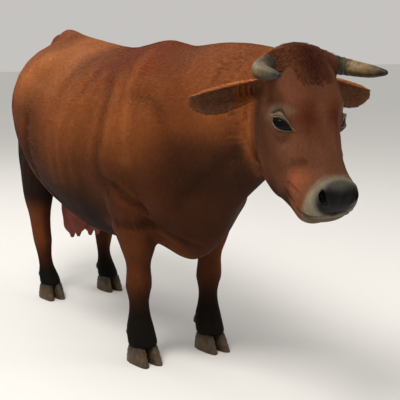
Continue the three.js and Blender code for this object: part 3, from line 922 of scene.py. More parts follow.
def body_markings(points: np.ndarray, normals: np.ndarray) -> np.ndarray:
    """The colours of the trunk and the neck, for all places, with painted shade low down and in creases and
    painted highlights on top.
    """
    x, y, z = np.abs(points[:, 0]), points[:, 1], points[:, 2]
    outer = normals[:, 0] * np.sign(points[:, 0])  # 1 where the surface faces away from the middle
    front = ramp(y, 0.10, -0.12)
    flank = ramp(outer, 0.2, 0.7)
    # low: the darker lower body, partly the coat's darker belly and partly painted shade where less light
    # falls
    low = 0.80 * ramp(z, 1.02, 0.64) * ramp(y, 1.35, 0.9) * (1 - front) + 0.68 * ramp(z, 1.04, 0.76) * front
    throat = ramp(z, 1.04, 0.92) * (1 - 0.5 * ramp(z, 0.85, 0.66))
    behind = bell(y + 0.872 + 0.15 * (z - 1.0), 0.026) * bell(z - 1.01, 0.12)
    made = painted(
        TONES.mid,
        # painted shade under the body and on the back of the thighs, over the coat's darker belly
        (TONES.dark, low),
        (TONES.dark, 0.97 * ramp(z, 0.76, 0.56) * (1 - 0.92 * front)),
        (TONES.dark, 0.75 * ramp(z, 1.00, 0.74) * ramp(y, 0.50, 0.80)),
        # a painted highlight where the light falls on top of the hindquarters
        (TONES.light, 0.88 * ramp(z, 0.98, 1.14) * ramp(y, 0.20, 0.50)),
        (TONES.red, 0.95 * ramp(z, 1.12, 1.24) * ramp(y, 0.30, 0.0) * ramp(y, -0.45, -0.2)),
        (TONES.red, 0.60 * ramp(z, 1.20, 1.33) * ramp(y, 0.62, 0.85)),
        # painted highlights on top of the neck, on the middle of the neck, and on the flanks where they face
        # outward
        (TONES.light, 0.22 * ramp(z, 1.06, 1.22) * ramp(y, -0.35, -0.6)),
        (TONES.light, 0.32 * bell(z - 1.09, 0.07) * bell(y + 0.72, 0.13)),
        (TONES.light, 0.40 * bell(z - 1.02, 0.13) * bell(y - 0.22, 0.24) * flank),
        (TONES.light, 0.30 * bell(z - 1.00, 0.15) * bell(y + 0.20, 0.14) * flank),
        # painted shade along the crease in front of the thigh
        (TONES.dark, 0.30 * bell(z - 0.98, 0.20) * bell(y - 0.56, 0.11)),
        # darker throat and chest: partly the coat's own colour, partly painted shade under the neck
        (TONES.dark, 0.66 * throat * ramp(y, -0.30, -0.52) * ramp(y, -1.10, -0.95)),
        (TONES.jaw, 0.6 * behind * ramp(outer, 0.0, 0.4)),
    )
    right = np.stack([x, y, z], 1)
    # painted shade along each crease and a painted highlight along each ridge
    for line, width, height in CREASES:
        near = np.flatnonzero(((right > line.min(0) - 0.08) & (right < line.max(0) + 0.08)).all(1))
        gap = np.linalg.norm(right[near, None] - line[None], axis=2).min(1)
        share = np.zeros(len(made))
        share[near] = min(1.0, abs(height) * 110) * bell(gap, width * 0.9)
        tone, most = (TONES.dark, 0.42) if height < 0 else (TONES.light, 0.30)
        made = mixed(made, tone, most * share)
    return made


def leg_markings(points: np.ndarray, normals: np.ndarray, made: np.ndarray) -> np.ndarray:
    """The colours with those of the legs and the udder laid over them, and painted shade on the legs' inner
    sides.
    """
    x, y, z = np.abs(points[:, 0]), points[:, 1], points[:, 2]
    outer = normals[:, 0] * np.sign(points[:, 0])
    leg = ramp(z + 0.07 * ramp(y, 0.4, 0.6), 0.62, 0.50)
    leg = leg * ramp(np.minimum(np.abs(y + 0.17), np.abs(y - 0.98)), 0.24, 0.18)
    top = 0.132 + 0.065 * ramp(y, 0.3, 0.2) + 0.012 * np.sin(37 * points[:, 0] + 23 * y)  # of the stockings
    bag = ramp(z, 0.545, 0.50) * ramp(z, 0.29, 0.305) * ramp(x, 0.126, 0.114)
    return painted(
        made,
        # paler on the legs' outer sides; the inner sides keep the painted shade of the underside
        (TONES.shank, leg * (0.45 + 0.55 * ramp(outer, -0.2, 0.6))),
        (TONES.dark, 0.28 * leg * ramp(y, 0.10, -0.12)),
        (TONES.dark, 0.85 * ramp(z - top, 0.19, 0.03)),
        (TONES.stocking, ramp(z - top, 0.060, -0.015)),
        (TONES.udder, bag * ramp(np.abs(y - 0.835), 0.17, 0.13)),
    )


def on_head(points: np.ndarray) -> np.ndarray:
    """1 on the head, fading to 0 on the neck behind it."""
    out = HEAD.local(points)[:, 2]
    return ramp(out, -0.36, -0.27) * ramp(points[:, 1], -0.90, -0.98) * ramp(points[:, 2], 0.70, 0.74)


def on_ear(points: np.ndarray) -> np.ndarray:
    """1 on the ears."""
    made = ramp(np.abs(points[:, 0]), 0.135, 0.165) * ramp(points[:, 2], 1.04, 1.07)
    made *= ramp(points[:, 1], -0.86, -0.90) * ramp(points[:, 1], -1.07, -1.03)
    return made * ramp(points[:, 2], 1.225, 1.205)


def on_pad(local: np.ndarray) -> np.ndarray:
    """How far places are from the middle of the nose's bare pad, 1 at its edge."""
    side, down, out = local[:, 0] / 0.080, (local[:, 1] - 0.510) / 0.055, (local[:, 2] + 0.018) / 0.060
    return np.sqrt(side**2 + down**2 + out**2)


def head_markings(points: np.ndarray, normals: np.ndarray, made: np.ndarray) -> np.ndarray:
    """The colours with those of the head and ears laid over them, with painted highlights on the cheek and
    the ears' rims and painted shade above the cheek.

    Args:
        points: The places.
        normals: The directions in which the surface faces there.
        made: The colours so far.

    Returns:
        The colours with the head's.
    """
    local = HEAD.local(points)
    side, down, out = np.abs(local[:, 0]), local[:, 1], local[:, 2]
    head = on_head(points)
    ridge = bell(side, 0.06) * bell(down - 0.36, 0.12) * ramp(out, -0.06, -0.01)
    brow = bell(side - 0.050, 0.035) * bell(down - 0.245, 0.05) * ramp(out, -0.05, 0.0)
    patch = bell(side, 0.068 - 0.12 * np.clip(down - 0.08, 0, 0.3)) * ramp(down, 0.185, 0.06)
    cheek = bell(down - 0.418, 0.036) * bell(out + 0.078, 0.036)
    mouth = bell(down - 0.372, 0.011) * bell(out + 0.062, 0.045)
    under = bell(down - 0.315, 0.030) * bell(out + 0.082, 0.040)
    made = painted(
        made,
        (TONES.face, head),
        (TONES.light, 0.45 * head * ramp(down, 0.10, 0.0) * ramp(side, 0.05, 0.10)),
        (TONES.temple, 0.85 * head * bell(out + 0.175, 0.060) * bell(down - 0.24, 0.16)),
        (TONES.jaw, 0.85 * head * bell(out + 0.285, 0.035) * bell(down - 0.26, 0.13)),
        (TONES.dark, 0.80 * head * ramp(out, -0.17, -0.25) * ramp(down, 0.30, 0.42)),
        (TONES.bridge, 0.8 * head * ridge),
        (TONES.red, 0.60 * head * brow),
        (TONES.forelock, 0.80 * head * brow),
        (TONES.forelock, 0.95 * head * patch * ramp(out, -0.06, -0.02) * ramp(down, -0.03, 0.0)),
        # a painted highlight on the cheek's bulge
        (TONES.cheek, 0.5 * head * cheek * ramp(side, 0.06, 0.085)),
        # painted shade along the crease above the cheek's bulge
        (TONES.dark, 0.34 * head * mouth * ramp(side, 0.05, 0.075)),
        (TONES.under_eye, 0.5 * head * under * ramp(side, 0.05, 0.08)),
    )
    for eye in EYES:  # paler hair over and behind the eyes
        forward, upward, _ = eye.basis()
        rel = points - eye.centre()
        away = np.linalg.norm(rel, axis=1)
        over = (rel @ upward - 0.6 * (rel @ forward)) / np.maximum(away, 1e-6)
        made = mixed(made, TONES.lid, 0.40 * ramp(away, 0.080, 0.056) * ramp(over, 0.25, 0.9))
    # the muzzle: a pale ring, then the dark pad of the nose, with a dusky chin below;
    # then the ears: dark in the hollow, with a painted highlight along the top rim
    ring = down - 0.430 - 1.05 * np.clip(-out - 0.004, 0, 0.10)
    pad = on_pad(local)
    ear = on_ear(points)
    hollow = ramp(-normals[:, 1], 0.0, 0.45) * ramp(np.abs(points[:, 0]), 0.185, 0.215)
    rim = points[:, 2] - 1.203 + 0.22 * (np.abs(points[:, 0]) - 0.15)
    return painted(
        made,
        (TONES.ring, 0.92 * head * ramp(ring, -0.004, 0.030)),
        (TONES.chin, 0.85 * head * ramp(ring, 0.0, 0.03) * ramp(out, -0.060, -0.085)),
        (TONES.dark, 0.75 * head * ramp(out, -0.11, -0.15) * ramp(down, 0.40, 0.46)),
        (TONES.pad_top, 0.95 * head * ramp(pad, 1.22, 0.95)),
        (TONES.pad, head * ramp(pad, 1.10, 0.90) * ramp(down + 0.25 * side, 0.470, 0.512)),
        (TONES.mid, ear),
        (TONES.ear, 0.95 * ear * hollow),
        (TONES.ear_rim_highlight, 0.95 * ear * ramp(rim, -0.0085, -0.0045)),
    )


def skin_markings(skin: Skin) -> np.ndarray:
    """The colours of the skin: the coat's, with the lids and the nostrils laid over them, and painted shade
    in the lids' creases and inside the opening.
    """
    gap, upper, low = skin.lid_gap, skin.lid_upper, skin.lid_lower
    return painted(
        markings(skin.points, skin.normals),
        (TONES.lid, 0.85 * upper * ramp(gap, 0.2, 1.2) * ramp(gap, 21.0, 17.0)),
        (TONES.lid_fold, 0.85 * upper * bell(gap - 7.8, 2.6)),
        # painted shade along the upper lid's outer crease
        (TONES.socket, 0.8 * upper * bell(gap - 20.6, 1.9)),
        (TONES.rim, 0.80 * low * ramp(gap, 0.0, 0.6) * ramp(gap, 5.2, 4.0)),
        # painted shade along the lower lid's creases
        (TONES.socket, 0.65 * low * bell(gap - 6.4, 1.4)),
        (TONES.lid_fold, 0.65 * low * bell(gap - 10.0, 2.0)),
        (TONES.socket, 0.45 * low * bell(gap - 14.0, 1.4)),
        # painted shade on the skin inside the opening, round the eyeball
        (TONES.socket, ramp(gap, 0.15, -0.1)),
        (TONES.nostril, 0.97 * skin.nostril_depth),
    )


def bareness(skin: Skin) -> np.ndarray:
    """1 on the nose's pad and the lids, where no hair grows, and 0 on the coat."""
    gap = skin.lid_gap
    pad = ramp(on_pad(HEAD.local(skin.points)), 1.15, 1.0) * (skin.points[:, 1] < -1.0)
    lids = np.maximum(skin.lid_upper * ramp(gap, 22.0, 20.0), skin.lid_lower * ramp(gap, 9.0, 7.0))
    return np.maximum(np.maximum(pad, lids), ramp(gap, 1.5, 0.5))


def lie_shares(skin: Skin) -> np.ndarray:
    """How far the hair lies along the body, down the legs and down the face, for each vertex of the skin."""
    way = np.abs(lie_of(skin.points, skin.normals))
    face = on_head(skin.points)
    upright = ramp(way[:, 2] - way[:, 1], -0.15, 0.15) * (1 - face)
    return np.stack([1 - face - upright, upright, face], 1)


# ------------------------------------------------------------------ finishes


class Finish:
    """A material made of nodes, with the shader's own values set on it."""

    def __init__(self, name: str, roughness: float, **values: float) -> None:
        """Starts a material.

        Args:
            name: The material's name.
            roughness: How dull it is.
            **values: More values of the shader, by input name with underscores.
        """
        self.material = bpy.data.materials.new(name)
        self.material.use_nodes = True
        self.tree = self.material.node_tree
        self.shader = self.tree.nodes["Principled BSDF"]
        self.shader.inputs["Roughness"].default_value = roughness
        for key, value in values.items():
            self.shader.inputs[key.replace("_", " ")].default_value = value

    def node(
        self, kind: str, inputs: dict[str | int, object] | None = None, **settings: object
    ) -> bpy.types.Node:
        """Adds a node; inputs may be values or other nodes' sockets.

        Args:
            kind: The node's type.
            inputs: What goes into its inputs, by name or number.
            **settings: The node's own settings.

        Returns:
            The new node.
        """
        made = self.tree.nodes.new(kind)
        for name, value in settings.items():
            setattr(made, name, value)
        for name, value in (inputs or {}).items():
            self.join(value, made.inputs[name])
        return made

    def join(self, value: object, socket: Socket) -> None:
        """Puts a value or another node's socket into a socket."""
        if isinstance(value, Socket):
            self.tree.links.new(value, socket)
        else:
            socket.default_value = value

    def place(self, scale: Place = (1, 1, 1), turn: Place = (0, 0, 0)) -> Socket:
        """The object's own coordinates, turned and scaled."""
        source = self.node("ShaderNodeTexCoord").outputs["Object"]
        turned = self.node(
            "ShaderNodeMapping", {"Vector": source, "Rotation": turn, "Scale": scale}, vector_type="POINT"
        )
        return turned.outputs["Vector"]

    def noise(self, scale: float, where: Socket, detail: float = 3.0) -> Socket:
        """A noise over some coordinates."""
        made = self.node("ShaderNodeTexNoise", {"Vector": where, "Scale": scale, "Detail": detail})
        return made.outputs["Fac"]

    def band(self, value: Socket, low: float, high: float, bottom: float, top: float) -> Socket:
        """A value moved from one range to another, held at its ends."""
        made = self.node(
            "ShaderNodeMapRange",
            {"Value": value, "From Min": low, "From Max": high, "To Min": bottom, "To Max": top},
        )
        return made.outputs["Result"]

    def times(self, a: Socket | float, b: Socket | float, how: str = "MULTIPLY") -> Socket:
        """Two values put together."""
        return self.node("ShaderNodeMath", {0: a, 1: b}, operation=how).outputs[0]

    def kept(self, name: str) -> Socket:
        """A colour kept in the mesh."""
        return self.node("ShaderNodeAttribute", attribute_name=name).outputs["Color"]

    def tinted(self, shade: Socket) -> Socket:
        """The piece's own colour, made lighter and darker by a shade."""
        grey = self.node("ShaderNodeCombineColor", {0: shade, 1: shade, 2: shade}).outputs["Color"]
        made = self.node("ShaderNodeMix", data_type="RGBA", blend_type="MULTIPLY")
        for name, value in (("Factor_Float", 1.0), ("A_Color", self.kept("hue")), ("B_Color", grey)):
            self.join(value, next(i for i in made.inputs if i.identifier == name))
        return next(o for o in made.outputs if o.identifier == "Result_Color")

    def finish(self, colour: Socket, height: Socket | None = None, depth: float = 0.0) -> bpy.types.Material:
        """Joins the colour and the relief to the shader.

        Args:
            colour: The colour.
            height: The relief, or None where it is smooth.
            depth: How deep the relief is.

        Returns:
            The finished material.
        """
        self.join(colour, self.shader.inputs["Base Color"])
        if height is not None:
            bump = self.node("ShaderNodeBump", {"Height": height, "Strength": 1.0, "Distance": depth})
            self.join(bump.outputs["Normal"], self.shader.inputs["Normal"])
        return self.material


@dataclass(frozen=True)
class SkinFinish:
    """Short hair that lies flat, with streaks along its lie, and the bare nose and lids, smooth and moist."""

    name: str = "skin"
    dull: float = 0.72
    moist: float = 0.36
    relief: float = 0.0003
    streak: float = 0.24
    fine: float = 230.0  # hairs across their lie, to the metre
    long: float = 34.0  # and along it
    pores: float = 260.0
    face_slope: Place = (-math.radians(24.3), 0, 0)

    def make(self) -> bpy.types.Material:
        """Builds the material."""
        made = Finish(self.name, self.dull, Specular_IOR_Level=0.07)
        lie = made.node("ShaderNodeSeparateColor", {"Color": made.kept("lie")})
        along = made.noise(1.0, made.place((self.fine, self.long, 120)), 4.0)
        upright = made.noise(1.0, made.place((self.fine, self.fine, self.long)), 4.0)
        face = made.noise(1.0, made.place((330, 330, 55), self.face_slope), 4.0)
        hair = made.times(along, lie.outputs["Red"])
        hair = made.times(hair, made.times(upright, lie.outputs["Green"]), "ADD")
        hair = made.times(hair, made.times(face, lie.outputs["Blue"]), "ADD")
        blotch = made.noise(5.5, made.place())
        mottle = made.noise(24.0, made.place())
        shade = made.times(made.band(hair, 0.3, 0.7, 1 - self.streak, 1 + self.streak),
                           made.band(blotch, 0.3, 0.7, 0.84, 1.16))
        shade = made.times(shade, made.band(mottle, 0.3, 0.7, 0.90, 1.10))
        bare = made.node("ShaderNodeAttribute", attribute_name="bare").outputs["Fac"]
        made.join(made.band(bare, 0, 1, self.dull, self.moist), made.shader.inputs["Roughness"])
        coat = made.times(hair, made.times(mottle, 0.18), "ADD")
        grain = made.node("ShaderNodeTexVoronoi", {"Vector": made.place(), "Scale": self.pores})
        pick = made.node("ShaderNodeMix", {0: bare, 2: coat, 3: grain.outputs["Distance"]}, data_type="FLOAT")
        return made.finish(made.tinted(shade), pick.outputs[0], self.relief)


@dataclass(frozen=True)
class TuftFinish:
    """Locks of hair: the coat's own colour, with fine streaks and a little gloss."""

    name: str = "hair"

    def make(self) -> bpy.types.Material:
        """Builds the material."""
        made = Finish(self.name, 0.66, Specular_IOR_Level=0.08)
        blotch = made.noise(5.5, made.place())
        fine = made.noise(420.0, made.place(), 2.0)
        shade = made.times(made.band(blotch, 0.3, 0.7, 0.84, 1.16), made.band(fine, 0.3, 0.7, 0.86, 1.14))
        return made.finish(made.tinted(shade), fine, 0.0003)


@dataclass(frozen=True)
class HornFinish:
    """Horn: coloured along its length, ringed and finely scored."""

    name: str
    rings: Place
    relief: float
    roughness: float = 0.48

    def make(self) -> bpy.types.Material:
        """Builds the material."""
        made = Finish(self.name, self.roughness, Specular_IOR_Level=0.3)
        scored = made.noise(1.0, made.place(self.rings), 5.0)
        stain = made.noise(38.0, made.place(), 5.0)
        shade = made.times(made.band(scored, 0.3, 0.7, 0.72, 1.24), made.band(stain, 0.32, 0.68, 0.66, 1.26))
        return made.finish(made.tinted(shade), made.times(scored, made.times(stain, 0.5), "ADD"), self.relief)


# ------------------------------------------------------------------ horn, hoof and eye


def rounded_copy(node: str, levels: int, flat_below: float | None = None) -> bpy.types.Object:
    """A node's solid as a smooth piece of its own, standing for the node.

    Args:
        node: The frame's node.
        levels: How often its faces are divided.
        flat_below: Edges lower than this stay sharp, where a sole stands on the floor.

    Returns:
        The piece.
    """
    piece = copies_of([node], node + "_piece")
    with editing(piece):
        bpy.ops.mesh.tris_convert_to_quads(face_threshold=1.0, shape_threshold=1.0)
    mesh = piece.data
    if flat_below is not None:
        low = (points_of(mesh)[edges_of(mesh), 2] < flat_below).all(1)
        layer = mesh.attributes.new("crease_edge", "FLOAT", "EDGE")
        layer.data.foreach_set("value", np.where(low, 0.85, 0.0).astype(np.float32))
    apply(piece, "SUBSURF", levels=levels, render_levels=levels)
    smooth(piece)
    return piece


def raise_rings(mesh: bpy.types.Mesh, ring: np.ndarray) -> None:
    """Pushes a mesh's vertices out along their normals."""
    move_points(mesh, points_of(mesh) + normals_of(mesh) * ring[:, None])


def dress(piece: bpy.types.Object, material: bpy.types.Material, slot: str, *nodes: str) -> None:
    """Gives a piece its material and its place in the model.

    Args:
        piece: The piece.
        material: Its material.
        slot: Not used.
        *nodes: The frame's nodes that it stands for.
    """
    piece.data.materials.clear()
    piece.data.materials.append(material)
    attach(piece, "root")
    if nodes:
        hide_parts(*nodes)
    log.info("%s: %d faces", piece.name, len(piece.data.polygons))


@dataclass
class Horns:
    """The two horns: ringed at the base, pale along the middle and dark at the tip, with painted shade
    underneath.
    """

    path: tuple[Place, ...] = (
        (0.060, -1.0235, 1.250), (0.112, -1.0295, 1.246), (0.156, -1.0395, 1.239),
        (0.186, -1.0695, 1.231), (0.200, -1.1295, 1.224), (0.206, -1.2095, 1.221),
    )
    grain: Place = (26, 90, 90)
    relief: float = 0.0010
    fine_rings: tuple[float, float] = (150, 0.0011)  # how closely they follow, and how high they stand
    coarse_rings: tuple[float, float] = (61, 0.0010)
    base: Tone = (36, 27, 16)
    middle: Tone = (122, 100, 66)
    olive: Tone = (66, 54, 30)
    tip: Tone = (36, 26, 18)

    def build(self) -> None:
        """Makes both horns."""
        finish = HornFinish("horn", self.grain, self.relief).make()
        for name, side in SIDES.items():
            node = f"horn_{name}"
            piece = rounded_copy(node, 3)
            mesh = piece.data
            line = ran(self.path, 24)
            line[:, 0] *= side
            gaps = np.linalg.norm(points_of(mesh)[:, None] - line[None], axis=2)
            along = gaps.argmin(1) / (len(line) - 1)
            (close, low), (apart, high) = self.fine_rings, self.coarse_rings
            ring = np.sin(along * close) * low * ramp(along, 0.62, 0.30)
            ring += np.sin(along * apart + 1.0) * high * ramp(along, 0.75, 0.4)
            raise_rings(mesh, ring)
            pale = 0.95 if side > 0 else 0.45
            paint(mesh, "hue", painted(
                self.base,
                (self.olive, ramp(along, 0.30, 0.42)),
                (self.middle, pale * ramp(along, 0.46, 0.60)),
                (self.olive, 0.6 * bell(along - 0.86, 0.06)),
                (self.tip, ramp(along, 0.86, 0.97)),
                # painted shade on the faces that look down
                (self.base, 0.85 * ramp(-normals_of(mesh)[:, 2], 0.0, 0.7)),
            ))
            dress(piece, finish, "horn", node)


@dataclass
class Hoofs:
    """The eight claws and eight dewclaws, ringed and worn."""

    grain: Place = (120, 120, 30)
    relief: float = 0.0008
    dull: float = 0.55
    fine_rings: tuple[float, float] = (0.0085, 0.0005)  # how far apart they are, and how high they stand
    coarse_rings: tuple[float, float] = (0.021, 0.0007)
    flat_sole: float = 0.0004
    wall: Tone = (74, 59, 40)
    top: Tone = (46, 36, 25)
    sole: Tone = (60, 49, 35)

    def build(self) -> None:
        """Makes every claw and dewclaw."""
        finish = HornFinish("hoof", self.grain, self.relief, self.dull).make()
        for node in sorted(n for n in frame["nodes"] if "claw" in n):
            dew = node.startswith("dewclaw")
            piece = rounded_copy(node, 2 if dew else 3, None if dew else self.flat_sole)
            mesh = piece.data
            points = points_of(mesh)
            height = points[:, 2]
            (close, low), (apart, high) = self.fine_rings, self.coarse_rings
            ring = np.sin(height * 2 * math.pi / close + points[:, 0] * 40) * low
            ring += np.sin(height * 2 * math.pi / apart + 0.8) * high
            ring *= ramp(height, 0.004, 0.012)
            raise_rings(mesh, 0.4 * ring if dew else ring)
            marks = ((self.top, ramp(height, 0.034, 0.074)), (self.sole, ramp(height, 0.010, 0.0)))
            if dew:
                marks = ((self.top, np.full(len(points), 0.75)),)
            paint(mesh, "hue", painted(self.wall, *marks))
            dress(piece, finish, "hoof", node)


@dataclass
class Eyes:
    """The eyeballs with their wet rims."""

    rings: int = 40
    pupil_half: tuple[float, float] = (0.52, 0.30)  # its width and height, as sines of the angle
    rim_thick: float = 0.0019
    rim_out: float = 0.0011
    brown: Tone = (24, 13, 10)
    pupil: Tone = (6, 5, 5)
    white: Tone = (26, 18, 15)

    def build(self) -> None:
        """Makes both eyes."""
        ball = Finish("eye", 0.15, Specular_IOR_Level=0.09)
        wet = ball.finish(ball.kept("hue"))
        rim = Finish("eye_rim", 0.22, Specular_IOR_Level=0.5)
        moist = rim.finish(rim.kept("hue"), rim.noise(600.0, rim.place()), 0.0002)
        for name, eye in zip(SIDES, EYES):
            self.ball(f"eye_{name}", eye, wet)
            self.rim(f"eye_rim_{name}", eye, moist)

    def ball(self, node: str, eye: EyePlace, material: bpy.types.Material) -> None:
        """One eyeball: dark brown with a wide, level pupil and a bulging front."""
        bpy.ops.object.select_all(action="DESELECT")
        bpy.ops.mesh.primitive_uv_sphere_add(segments=64, ring_count=self.rings, radius=eye.radius)
        piece = bpy.context.object
        piece.name = piece.data.name = node + "_ball"
        mesh = piece.data
        way = unit(points_of(mesh))
        outward = eye.basis()[2]
        level = unit(np.cross(vec(0, 0, 1), outward))
        rise = np.cross(outward, level)
        facing = way @ outward
        cornea = ramp(facing, 0.80, 0.97)
        move_points(mesh, way * (eye.radius * (0.985 + 0.015 * cornea))[:, None] + eye.centre())
        wide, high = self.pupil_half
        slot = np.sqrt((way @ level / wide) ** 2 + (way @ rise / high) ** 2)
        paint(mesh, "hue", painted(
            self.white,
            (self.brown, ramp(facing, 0.42, 0.60)),
            (self.pupil, ramp(slot, 1.08, 0.92) * (facing > 0)),
        ))
        smooth(piece)
        dress(piece, material, "eye", node)

    @staticmethod
    def opening(eye: EyePlace, angle: np.ndarray) -> np.ndarray:
        """The edge of the lids' opening.

        Args:
            eye: The eye.
            angle: How far round the opening each place is, from its front corner.

        Returns:
            Directions from the eyeball's middle.
        """
        middle = (eye.front - eye.back) / 2
        turn = middle + (eye.front + eye.back) / 2 * np.cos(angle) * 0.985
        centre = eye.level + eye.slope * turn
        lift = np.where(np.sin(angle) > 0, eye.upper(turn), -eye.lower(turn))
        return eye.ray(turn, centre + (lift - centre) * np.minimum(1, np.abs(np.sin(angle)) * 12))

    def rim(self, name: str, eye: EyePlace, material: bpy.types.Material) -> None:
        """The moist edge of the lids, a thin roll round the opening."""
        bpy.ops.object.select_all(action="DESELECT")
        bpy.ops.mesh.primitive_torus_add(
            major_segments=96, minor_segments=10, major_radius=1.0, minor_radius=0.25
        )
        piece = bpy.context.object
        piece.name = piece.data.name = name
        mesh = piece.data
        flat = points_of(mesh)
        around = np.arctan2(flat[:, 1], flat[:, 0])
        over = np.arctan2(flat[:, 2], np.hypot(flat[:, 0], flat[:, 1]) - 1.0)
        way = self.opening(eye, around)
        tangent = unit(self.opening(eye, around + 0.02) - self.opening(eye, around - 0.02))
        aside = np.cross(tangent, way)
        points = way * (eye.radius + self.rim_out)
        points += self.rim_thick * (np.cos(over)[:, None] * aside + 0.8 * np.sin(over)[:, None] * way)
        move_points(mesh, points + eye.centre())
        with editing(piece):
            bpy.ops.mesh.normals_make_consistent(inside=False)
        lower = 1 - ramp(np.sin(around), -0.2, 0.2)
        paint(mesh, "hue", painted(TONES.socket, (TONES.rim, 0.5 * lower * ramp(np.cos(over), 0.0, 0.8))))
        smooth(piece)
        dress(piece, material, "eye")


# ------------------------------------------------------------------ the coat


def lie_of(points: np.ndarray, normals: np.ndarray) -> np.ndarray:
    """The way the hair lies at places on the animal.

    Args:
        points: The places.
        normals: The directions in which the surface faces there.

    Returns:
        Unit directions along the surface.
    """
    x, y, z = points[:, 0], points[:, 1], points[:, 2]
    way = np.zeros_like(points)
    way[:, 1] = 1.0
    way[:, 2] = -0.40 - 0.7 * ramp(z, 1.22, 0.95) + 0.12 * np.sin(5.1 * y + 3.7 * z)
    way[:, 2] -= 2.5 * ramp(z, 0.62, 0.46)  # down the legs
    way[:, 2] -= 0.5 * ramp(y, -0.35, -0.6) * ramp(y, -1.05, -0.9)
    local = HEAD.local(points)
    side = np.sign(x)
    out_to_side = np.stack([side, 0 * y, 0 * y], 1)
    face = HEAD.down() + out_to_side * 0.12
    above = HEAD.down() * 0.7 + out_to_side * 0.3
    face = face + (above - face) * ramp(local[:, 1], 0.20, 0.14)[:, None]
    # a whorl between the eyes
    a, b = np.abs(local[:, 0]) - 0.045, local[:, 1] - 0.245
    near = bell(np.hypot(a, b), 0.045)[:, None] * 1.3
    swirl = out_to_side * (-b)[:, None] + HEAD.down() * a[:, None]
    face = face + near * swirl / (np.hypot(a, b)[:, None] + 0.004)
    back = HEAD.out() * -0.7 + HEAD.down() * 0.5
    cheek = ramp(np.abs(local[:, 0]), 0.06, 0.10)[:, None] * ramp(local[:, 2], -0.04, -0.12)[:, None]
    face = face + (back - face) * cheek * 0.7
    way += (face * 3 - way) * on_head(points)[:, None]
    for eye in EYES:  # the hair parts round the eyes
        rel = points - eye.centre()
        away = np.linalg.norm(rel, axis=1)[:, None]
        way += (rel / away * 4 - way) * ramp(away, 0.095, 0.065)
    tip = np.stack([side, 0.15 + 0 * y, -0.12 + 0 * y], 1)
    way += (tip - way) * on_ear(points)[:, None]
    tail = ramp(y, 1.17, 1.19) * ramp(z, 1.25, 1.2)
    way += (vec(0, 0.0, -1) - way) * tail[:, None]
    way -= normals * (way * normals).sum(1)[:, None]
    return unit(way)


class Tuft:
    """The shape that every tuft is a copy of: a three-sided spindle, drawn to a point at its ends."""

    def __init__(self, rings: int) -> None:
        """Models the spindle.

        Args:
            rings: How many rings of points it has between its two ends.
        """
        bpy.ops.object.select_all(action="DESELECT")
        bpy.ops.mesh.primitive_uv_sphere_add(segments=3, ring_count=max(rings + 1, 3), radius=1)
        piece = bpy.context.object
        if rings == 1:
            with editing(piece):
                bpy.ops.mesh.select_all(action="DESELECT")
            piece.data.vertices.foreach_set("select", points_of(piece.data)[:, 2] < -0.1)
            bpy.ops.object.mode_set(mode="EDIT")
            bpy.ops.mesh.merge(type="CENTER")
            bpy.ops.object.mode_set(mode="OBJECT")
        points = points_of(piece.data)
        self.faces = [tuple(p.vertices) for p in piece.data.polygons]
        heights, self.level = np.unique(np.round(points[:, 2], 3), return_inverse=True)
        around = np.maximum(np.hypot(points[:, 0], points[:, 1]), 1e-6)
        middle = (self.level > 0) & (self.level < len(heights) - 1)
        self.rise = np.where(middle, points[:, 0] / around, 0)
        self.aside = np.where(middle, points[:, 1] / around, 0)
        self.along = np.linspace(0, 1, len(heights)) ** 1.1
        self.girth = np.sin(math.pi * self.along**0.75) ** 0.7
        bpy.data.objects.remove(piece)

    def grow(
        self, name: str, centres: np.ndarray, ups: np.ndarray, widths: np.ndarray, hue: np.ndarray,
        chart: np.ndarray, flatness: float = 0.5, smooth: bool = True,
    ) -> bpy.types.Object:
        """Makes one piece of many tufts.

        Args:
            name: The piece's name.
            centres: For each tuft, the middle of each of its rings, its root and its tip.
            ups: The way each tuft's back faces.
            widths: How wide each is.
            hue: The colour of each.
            chart: Each root's place on the unwrapped skin.
            flatness: How thick a tuft is against its width.
            smooth: Whether its faces are shaded as one round surface.

        Returns:
            The piece.
        """
        count, size = len(centres), len(self.level)
        way = unit(centres[:, -1] - centres[:, 0])
        sides = unit(np.cross(way, ups))
        half = widths[:, None, None] / 2 * self.girth[self.level][None, :, None]
        points = centres[:, self.level] + half * (
            sides[:, None] * self.aside[None, :, None]
            + np.cross(sides, way)[:, None] * (flatness * self.rise)[None, :, None]
        )
        corners = np.concatenate([np.array(face) for face in self.faces])
        starts = np.cumsum([0] + [len(face) for face in self.faces])[:-1]
        mesh = bpy.data.meshes.new(name)
        mesh.vertices.add(count * size)
        mesh.loops.add(count * len(corners))
        mesh.polygons.add(count * len(starts))
        steps = np.arange(count)[:, None]
        mesh.vertices.foreach_set("co", points.reshape(-1).astype(np.float32))
        mesh.loops.foreach_set("vertex_index", (corners + steps * size).reshape(-1).astype(np.int32))
        firsts = starts + steps * len(corners)
        mesh.polygons.foreach_set("loop_start", firsts.reshape(-1).astype(np.int32))
        mesh.polygons.foreach_set("use_smooth", np.full(count * len(starts), smooth))
        patch = np.stack([self.aside * 0.0015, (self.along[self.level] - 0.5) * 0.003], 1)[corners]
        layer = mesh.uv_layers.new(name="OFBake")
        layer.data.foreach_set("uv", (chart[:, None] + patch[None]).reshape(-1).astype(np.float32))
        mesh.update(calc_edges=True)
        shade = 1 + 0.10 * (self.along[self.level] - 0.4)  # paler towards the tip
        paint(mesh, "hue", (hue[:, None] * shade[None, :, None]).reshape(-1, 3))
        piece = bpy.data.objects.new(name, mesh)
        bpy.context.scene.collection.objects.link(piece)
        return piece


